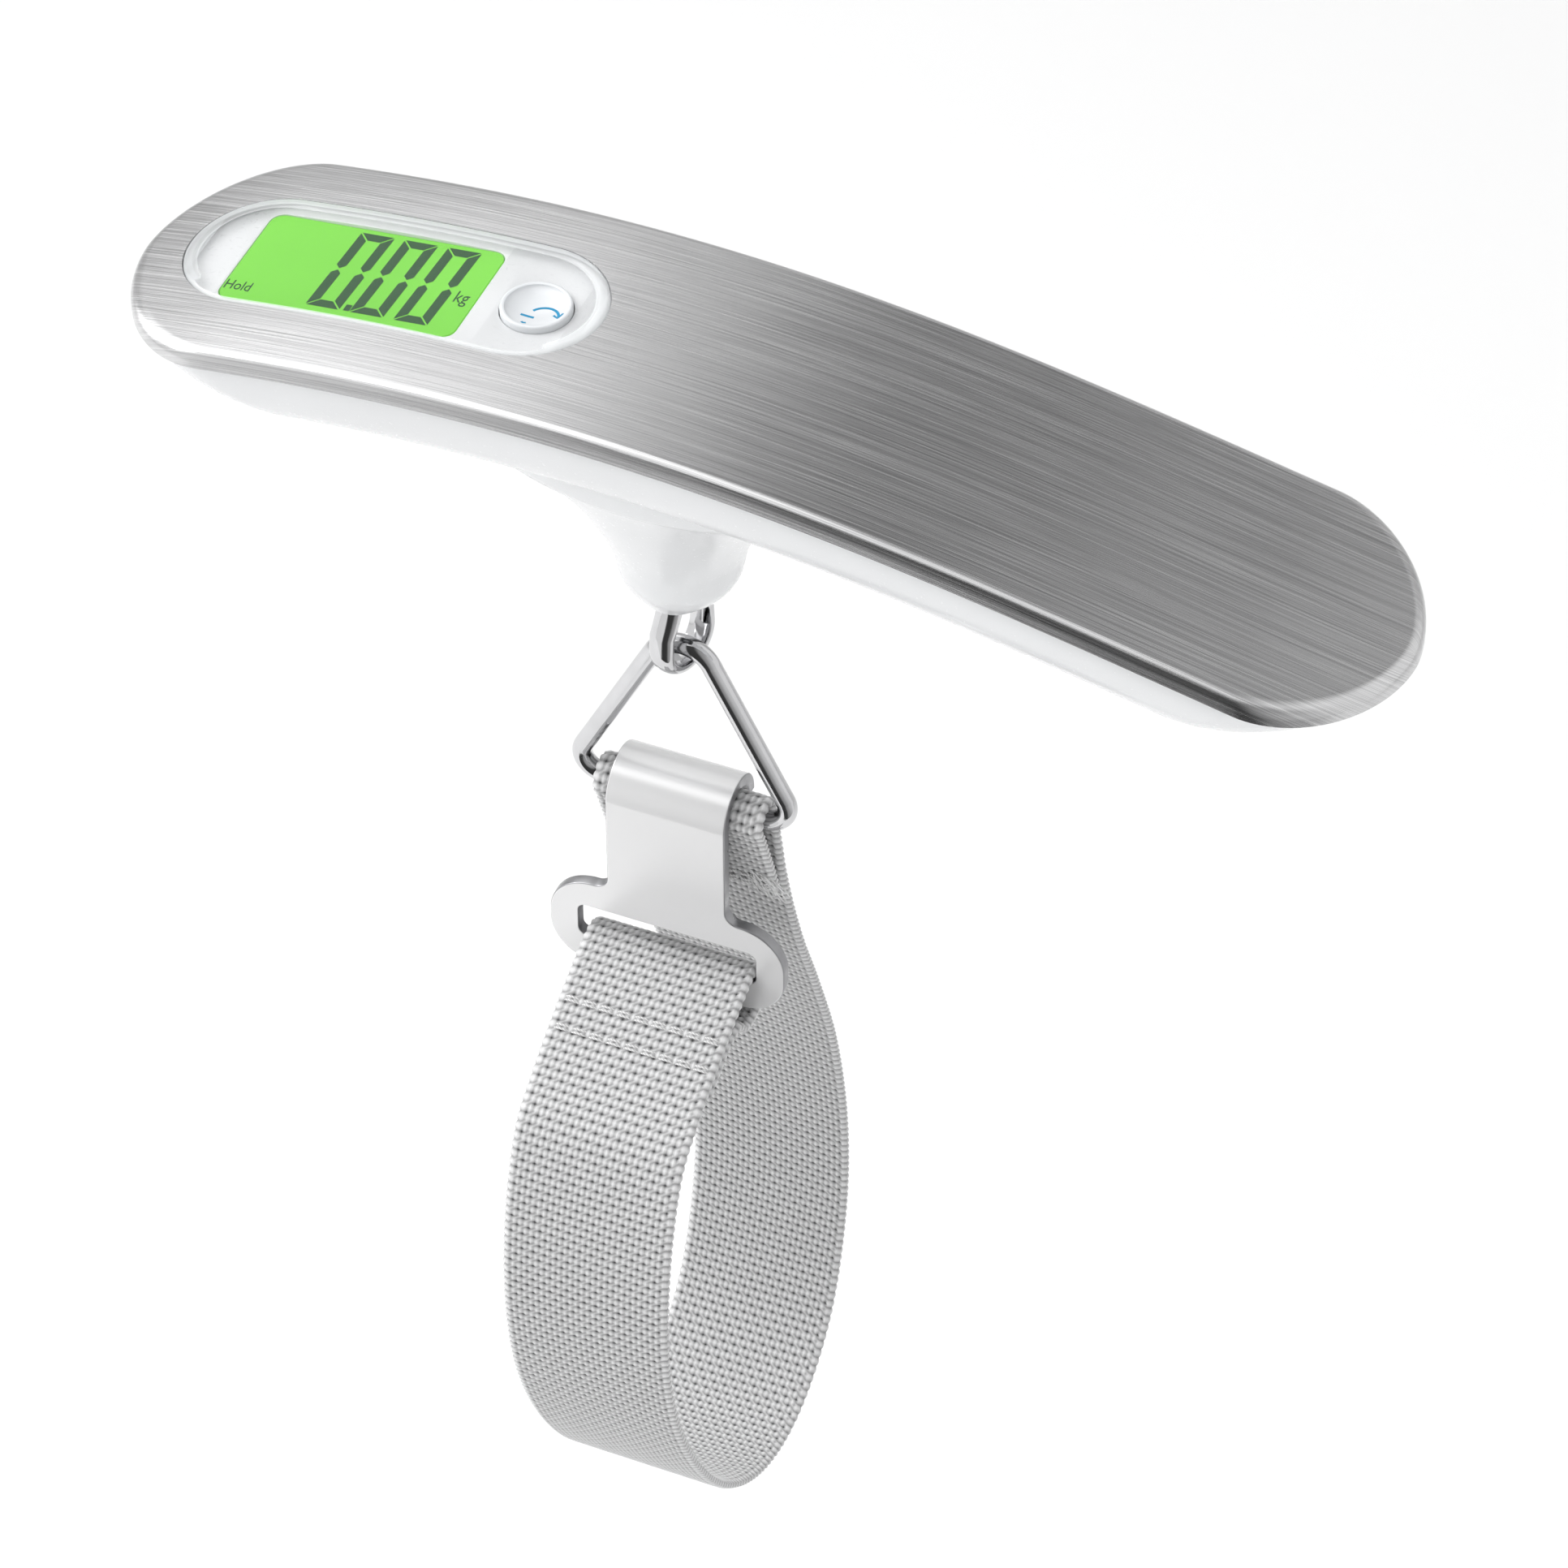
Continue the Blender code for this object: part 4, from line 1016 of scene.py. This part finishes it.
def belt(circles, steps):
    """A closed line pulled tight around circles given as (x, z, radius)."""
    normals = []
    for (ax, az, ra), (bx, bz, rb) in zip(circles, circles[1:] + circles[:1]):
        gap = math.hypot(bx - ax, bz - az)
        normals.append(math.atan2(bz - az, bx - ax) - math.acos((ra - rb) / gap))
    out = []
    for i, (x, z, r) in enumerate(circles):
        swing_by = (normals[i] - normals[i - 1]) % (2 * math.pi)
        for k in range(steps + 1):
            a = normals[i - 1] + swing_by * k / steps
            out.append((x + r * math.cos(a), 0, z + r * math.sin(a)))
    return out


APEX_ROUND = 3.8
CORNER_X, CORNER_ROUND = 9.8, 2.6
ring_path = belt([
    (0, RING_APEX_Z - APEX_ROUND, APEX_ROUND),
    (-CORNER_X, RING_BAR_Z + CORNER_ROUND, CORNER_ROUND),
    (CORNER_X, RING_BAR_Z + CORNER_ROUND, CORNER_ROUND),
], 28)
add("ring_skin", tube(ring_path, RING_WIRE, 28, closed=True), CHROME, "ring",
    ["triangle_ring"])

# The hook is a stamped plate with a neck, two ears and a slot, curled over the ring's bar at its top.
BORE, SHEET = 2.95, 1.5
OUTER = BORE + SHEET
HOOK_X = -0.6
HOOK_NECK = 7.2
NECK_FILLET = 1.7
SHOULDER = -79.6
HOOK_EAR = 14.4
EAR_ROUND = 5.5
HOOK_BOTTOM = -92.3
HOOK_SLOT = (10.9, -83.3, -88.0)
HOOK_SLOT_ROUND = 1.0


def sheet_profile():
    """The plate seen from its edge, with the curl over the bar."""
    line = [(-OUTER, HOOK_BOTTOM - 1.0)] + arc(0, RING_BAR_Z, OUTER, 180, -4, 48)
    return line + arc(0, RING_BAR_Z, BORE, -4, 180, 48) + [(-BORE, HOOK_BOTTOM - 1.0)]


def extruded(points, low, high, axis):
    """An outline whose second half runs back beside the first, extruded along X or Y."""
    bm = bmesh.new()
    rows = []
    for at in (low, high):
        if axis == "X":
            rows.append([bm.verts.new((at, a, b)) for a, b in points])
        else:
            rows.append([bm.verts.new((a, at, b)) for a, b in points])
    skin(bm, rows, False)
    n = len(points)
    for row in rows:
        for i in range(n // 2 - 1):
            bm.faces.new((row[i], row[i + 1], row[n - 2 - i], row[n - 1 - i]))
    return bm


def mirrored(half_line):
    """An outline from its +X half, top to bottom."""
    return half_line + [(-x, z) for x, z in reversed(half_line)]


hook = add("hook_skin", extruded(sheet_profile(), -HOOK_EAR - 1, HOOK_EAR + 1, "X"), PLATE, "hook",
           ["t_hook"])
front = [(HOOK_NECK, -50.0)]
front += arc(HOOK_NECK + NECK_FILLET, SHOULDER + NECK_FILLET, NECK_FILLET, 180, 268, 12)
front += arc(HOOK_EAR - EAR_ROUND, SHOULDER - EAR_ROUND, EAR_ROUND, 88, 0, 24)
front += arc(HOOK_EAR - EAR_ROUND, HOOK_BOTTOM + EAR_ROUND, EAR_ROUND, 0, -90, 24)
cut(hook, raw(extruded(mirrored(front), -20, 20, "Y")), "INTERSECT")
half, top, bottom = HOOK_SLOT
slot_line = arc(half - HOOK_SLOT_ROUND, top - HOOK_SLOT_ROUND, HOOK_SLOT_ROUND, 90, 0, 6)
slot_line += arc(half - HOOK_SLOT_ROUND, bottom + HOOK_SLOT_ROUND, HOOK_SLOT_ROUND, 0, -90, 6)
cut(hook, raw(extruded(mirrored(slot_line), -20, 20, "Y")))
hook.data.transform(Matrix.Translation((HOOK_X * MM, 0, 0)))
bm = bmesh.new()
bm.from_mesh(hook.data)
bmesh.ops.remove_doubles(bm, verts=bm.verts, dist=0.004 * MM)
bmesh.ops.dissolve_limit(bm, angle_limit=math.radians(0.5), verts=bm.verts, edges=bm.edges)
bm.to_mesh(hook.data)
bm.free()
shade(hook, 35.0)
bevelled(hook, 0.22, 3, 40.0)
# The plate's sheared edges are darker than its faces.
hook.data.materials.append(EDGE)
for poly in hook.data.polygons:
    if abs(poly.normal.x) > 0.35 or (poly.center.z < -0.074 and abs(poly.normal.y) < 0.8):
        poly.material_index = 1
even = hook.modifiers.new("even", "WEIGHTED_NORMAL")
even.keep_sharp = True
even.weight = 80
applied(hook)

# ================================================================ webbing

# The weave: bead columns, row length, half thickness under a bead and at the edge, and a bead's rise.
COLUMNS = 28
CELL = 1.1
CORE = 0.36
SELVEDGE = 0.18
BEAD = 0.26


def knot(column, row, part, centre):
    """Height of the weave, 0 to 1, at one of four steps within a row of beads."""
    if centre:
        return (1.0, 0.82, 0.42, 0.82)[part]
    if part == 2:
        return 0.0 if (column + row) % 2 == 0 else 0.62
    return (0.6, 0.42, 0.0, 0.42)[part]


def weave(name, line, offset, body, hides=()):
    """Woven webbing along a (Y, Z) line; offset is how many rows into the weave the piece starts."""
    points, step = resampled(line, CELL / 4)
    bm = bmesh.new()
    # Each vertex keeps how high the weave stands there; the material turns this into painted shade in the
    # hollows.
    relief_shade = bm.verts.layers.float.new("relief_shade")
    across = COLUMNS * 2
    sides = ([], [])
    for i, p in enumerate(points):
        a, b = points[max(i - 1, 0)], points[min(i + 1, len(points) - 1)]
        d = (b - a).normalized()
        n = Vector((-d.y, d.x))
        tick = offset + i
        for side, rows in zip((1, -1), sides):
            row = []
            for j in range(across + 1):
                bulge = knot(j // 2, tick // 4, tick % 4, j % 2 == 1)
                wobble = noise.noise(Vector((j * 0.37, tick * 0.11, side)))
                height = CORE + BEAD * bulge + 0.03 * wobble
                x = (j / across - 0.5) * WEB_WIDTH
                edge = min(j, across - j)
                lump = (1.0, 0.75, 0.2, 0.75)[(tick + (2 if j > 9 else 0)) % 4]
                if edge == 0:
                    height = SELVEDGE + 0.12 * lump
                    x += math.copysign(0.05 + 0.2 * lump, x)
                    bulge = 0.25 + 0.6 * lump
                elif edge == 1:
                    height = CORE + 0.24 * lump
                    bulge = 0.3 + 0.7 * lump
                v = bm.verts.new((x, p.x + n.x * side * height, p.y + n.y * side * height))
                # The height goes to the material as painted shade, darker in the hollows; along the edges it
                # follows the lumps.
                v[relief_shade] = bulge
                row.append(v)
            rows.append(row)
    top_rows, low_rows = sides
    for i in range(len(points) - 1):
        for j in range(across):
            bm.faces.new((top_rows[i][j], top_rows[i][j + 1], top_rows[i + 1][j + 1], top_rows[i + 1][j]))
            bm.faces.new((low_rows[i][j], low_rows[i + 1][j], low_rows[i + 1][j + 1], low_rows[i][j + 1]))
        for j in (0, across):
            bm.faces.new((top_rows[i][j], top_rows[i + 1][j], low_rows[i + 1][j], low_rows[i][j]))
    for i in (0, len(points) - 1):
        for j in range(across):
            bm.faces.new((top_rows[i][j], top_rows[i][j + 1], low_rows[i][j + 1], low_rows[i][j]))
    obj = add(name, bm, WEB, body, hides, angle=89.0, weld=0.0)
    return obj, step, len(points) - 1


# The strap from its edge, as (Y, Z): down from the ring, round the loop, then the fold through the hook.
STRAP_LINE = (
    (4.7, -78.2), (7.0, -86.0), (10.4, -95.5), (15.2, -107.0), (21.0, -123.0), (24.6, -141.0), (24.4, -157.0),
    (19.6, -171.5), (10.0, -178.8), (-1.0, -177.6), (-12.0, -169.0), (-21.4, -155.0), (-28.0, -139.0),
    (-30.4, -124.0), (-29.4, -110.0), (-25.9, -99.0),
)
FOLD_LINE = (
    (-20.6, -94.4), (-15.0, -91.0), (-9.0, -88.0), (-4.6, -86.5), (-2.2, -87.6), (-1.6, -90.6), (-2.2, -93.0),
    (-4.2, -93.7), (-6.6, -93.2), (-8.6, -91.2), (-12.3, -91.4), (-17.4, -94.1),
)
STRAP_SPLIT = (-30.2, -119.0)
WEB_BORE = RING_WIRE + 0.3 + WEB_HALF_THICK
FRONT_STITCHES = (33.2, 36.6)
STITCH_GAP = 0.45
LOOSE_THREADS = 26
loop_line = [(2.8, -79.2), (1.4, -75.0)] + arc(0, RING_BAR_Z, WEB_BORE, 221, -4, 40) + [(3.2, -71.3)]
whole = catmull(STRAP_LINE + FOLD_LINE, 12)
split = min(range(len(whole)), key=lambda i: math.dist(whole[i], STRAP_SPLIT))
back_line = loop_line + whole[:split + 1]
front_line = whole[split:]
strap_web, step, ticks = weave("strap_web", back_line, 0, "strap", ["webbing_strap"])
hook_web, step, tail_ticks = weave("hook_web", front_line, ticks, None)
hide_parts("webbing_hook_end")
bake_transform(hook_web)


def stitch_row(x0, x1, count, place, normal, lift=0.72, rad=0.2):
    """Thread stitches across the strap, each dipping into the webbing at both ends."""
    parts = []
    pitch = (x1 - x0) / count
    base, out = Vector(place), Vector(normal).normalized()
    for i in range(count):
        a = x0 + pitch * (i + 0.08)
        b = x0 + pitch * (i + 0.92)
        line = []
        for k in range(7):
            t = k / 6
            rise = lift + 0.12 * math.sin(math.pi * t) - 0.2 * (abs(2 * t - 1) ** 4)
            line.append(Vector((a + (b - a) * t, base.x + out.x * rise, base.y + out.y * rise)))
        radii = [rad * 0.55, rad * 0.9, rad, rad, rad, rad * 0.9, rad * 0.55]
        parts.append(tube(line, radii, 8))
    return parts


def at_arc(line, distance):
    """The point and left-hand normal a distance along a line."""
    pts = [Vector(p) for p in line]
    for a, b in zip(pts, pts[1:]):
        size = (b - a).length
        if distance <= size:
            d = (b - a) / size
            return a + d * distance, Vector((-d.y, d.x))
        distance -= size
    return pts[-1], Vector((-d.y, d.x))


def strand_stitches(line, distance, lift):
    """One wavering row of thread across a strand, at a distance along it."""
    spot, out = at_arc(line, distance)
    out = -out if out.x > 0 else out
    return stitch_row(-9.6, 9.6, 9, spot, out, lift, 0.13)


hook_stitches = []
for distance in FRONT_STITCHES:
    hook_stitches += strand_stitches(front_line, distance, 0.60)
    hook_stitches += strand_stitches(front_line, distance + STITCH_GAP, 0.56)
add("hook_stitches", merge(hook_stitches), THREAD, "hook", weld=0.0001)

seam = []
seam_low, seam_high = (Vector(p) for p in loop_line[:2])
d = (seam_high - seam_low).normalized()
for distance in (0.7, 1.4, 2.6):
    spot = seam_low.lerp(seam_high, distance / 4.4)
    seam += stitch_row(-9.4, 9.4, 10, spot, (-abs(d.y), d.x), 0.62, 0.14)
noise.seed_set(7)
for index in range(LOOSE_THREADS):
    x = 6.4 + 3.6 * noise.random()
    z = -75.6 - 4.2 * noise.random()
    y = 2.8 + (z + 79.2) * -0.33 - 0.55
    lean = noise.noise(Vector((index * 0.71, 2.0, 0.0)))
    run = [(x, y, z)]
    for k in range(1, 6):
        run.append((x + 0.5 * k * (0.7 + lean), y - 0.14 * k * (1 - 0.12 * k) - 0.05 * lean * k,
                    z + 0.35 * k * noise.noise(Vector((index * 1.3, k * 0.4, 5.0))) - 0.05 * k * k))
    seam.append(tube(catmull(run, 4), 0.075, 6))
add("seam_stitches", merge(seam), THREAD, "strap", weld=0.0001)

# ================================================================ carried-over pieces

finishes = {
    "upper_frame": SHELL,
    "circuit_board": moulded("board_mask", (0.03, 0.22, 0.09), 0.4, scale=600.0),
    "controller_chip": moulded("resin", (0.02, 0.02, 0.02), 0.25),
    "adc_chip": moulded("chip_body", (0.03, 0.03, 0.03), 0.5),
    "switch_body": moulded("switch_plastic", (0.05, 0.05, 0.055), 0.5),
    "switch_plunger": moulded("plunger_plastic", (0.5, 0.06, 0.05), 0.5),
    "zebra_strip": moulded("zebra_rubber", (0.4, 0.3, 0.35), 0.7),
    "backlight_guide": moulded("guide_acrylic", (0.7, 0.9, 0.65), 0.25),
    "strain_gauge": moulded("gauge_film", (0.7, 0.42, 0.12), 0.45),
    "gauge_wire_1": moulded("red_wire", (0.55, 0.03, 0.03), 0.45),
    "gauge_wire_2": moulded("white_wire", (0.8, 0.8, 0.76), 0.45),
    "gauge_wire_3": moulded("black_wire", (0.03, 0.03, 0.03), 0.45),
    "load_cell": moulded("machined_aluminium", (0.72, 0.73, 0.75), 0.35, 1.0),
}
LED = moulded("led_body", (0.85, 0.85, 0.75), 0.3)
ZINC = moulded("zinc_plate", (0.55, 0.56, 0.58), 0.35, 1.0)
for name, obj in nodes.items():
    finish = LED if "led" in name else finishes.get(name, ZINC)
    for index in range(len(obj.material_slots)):
        obj.material_slots[index].material = finish
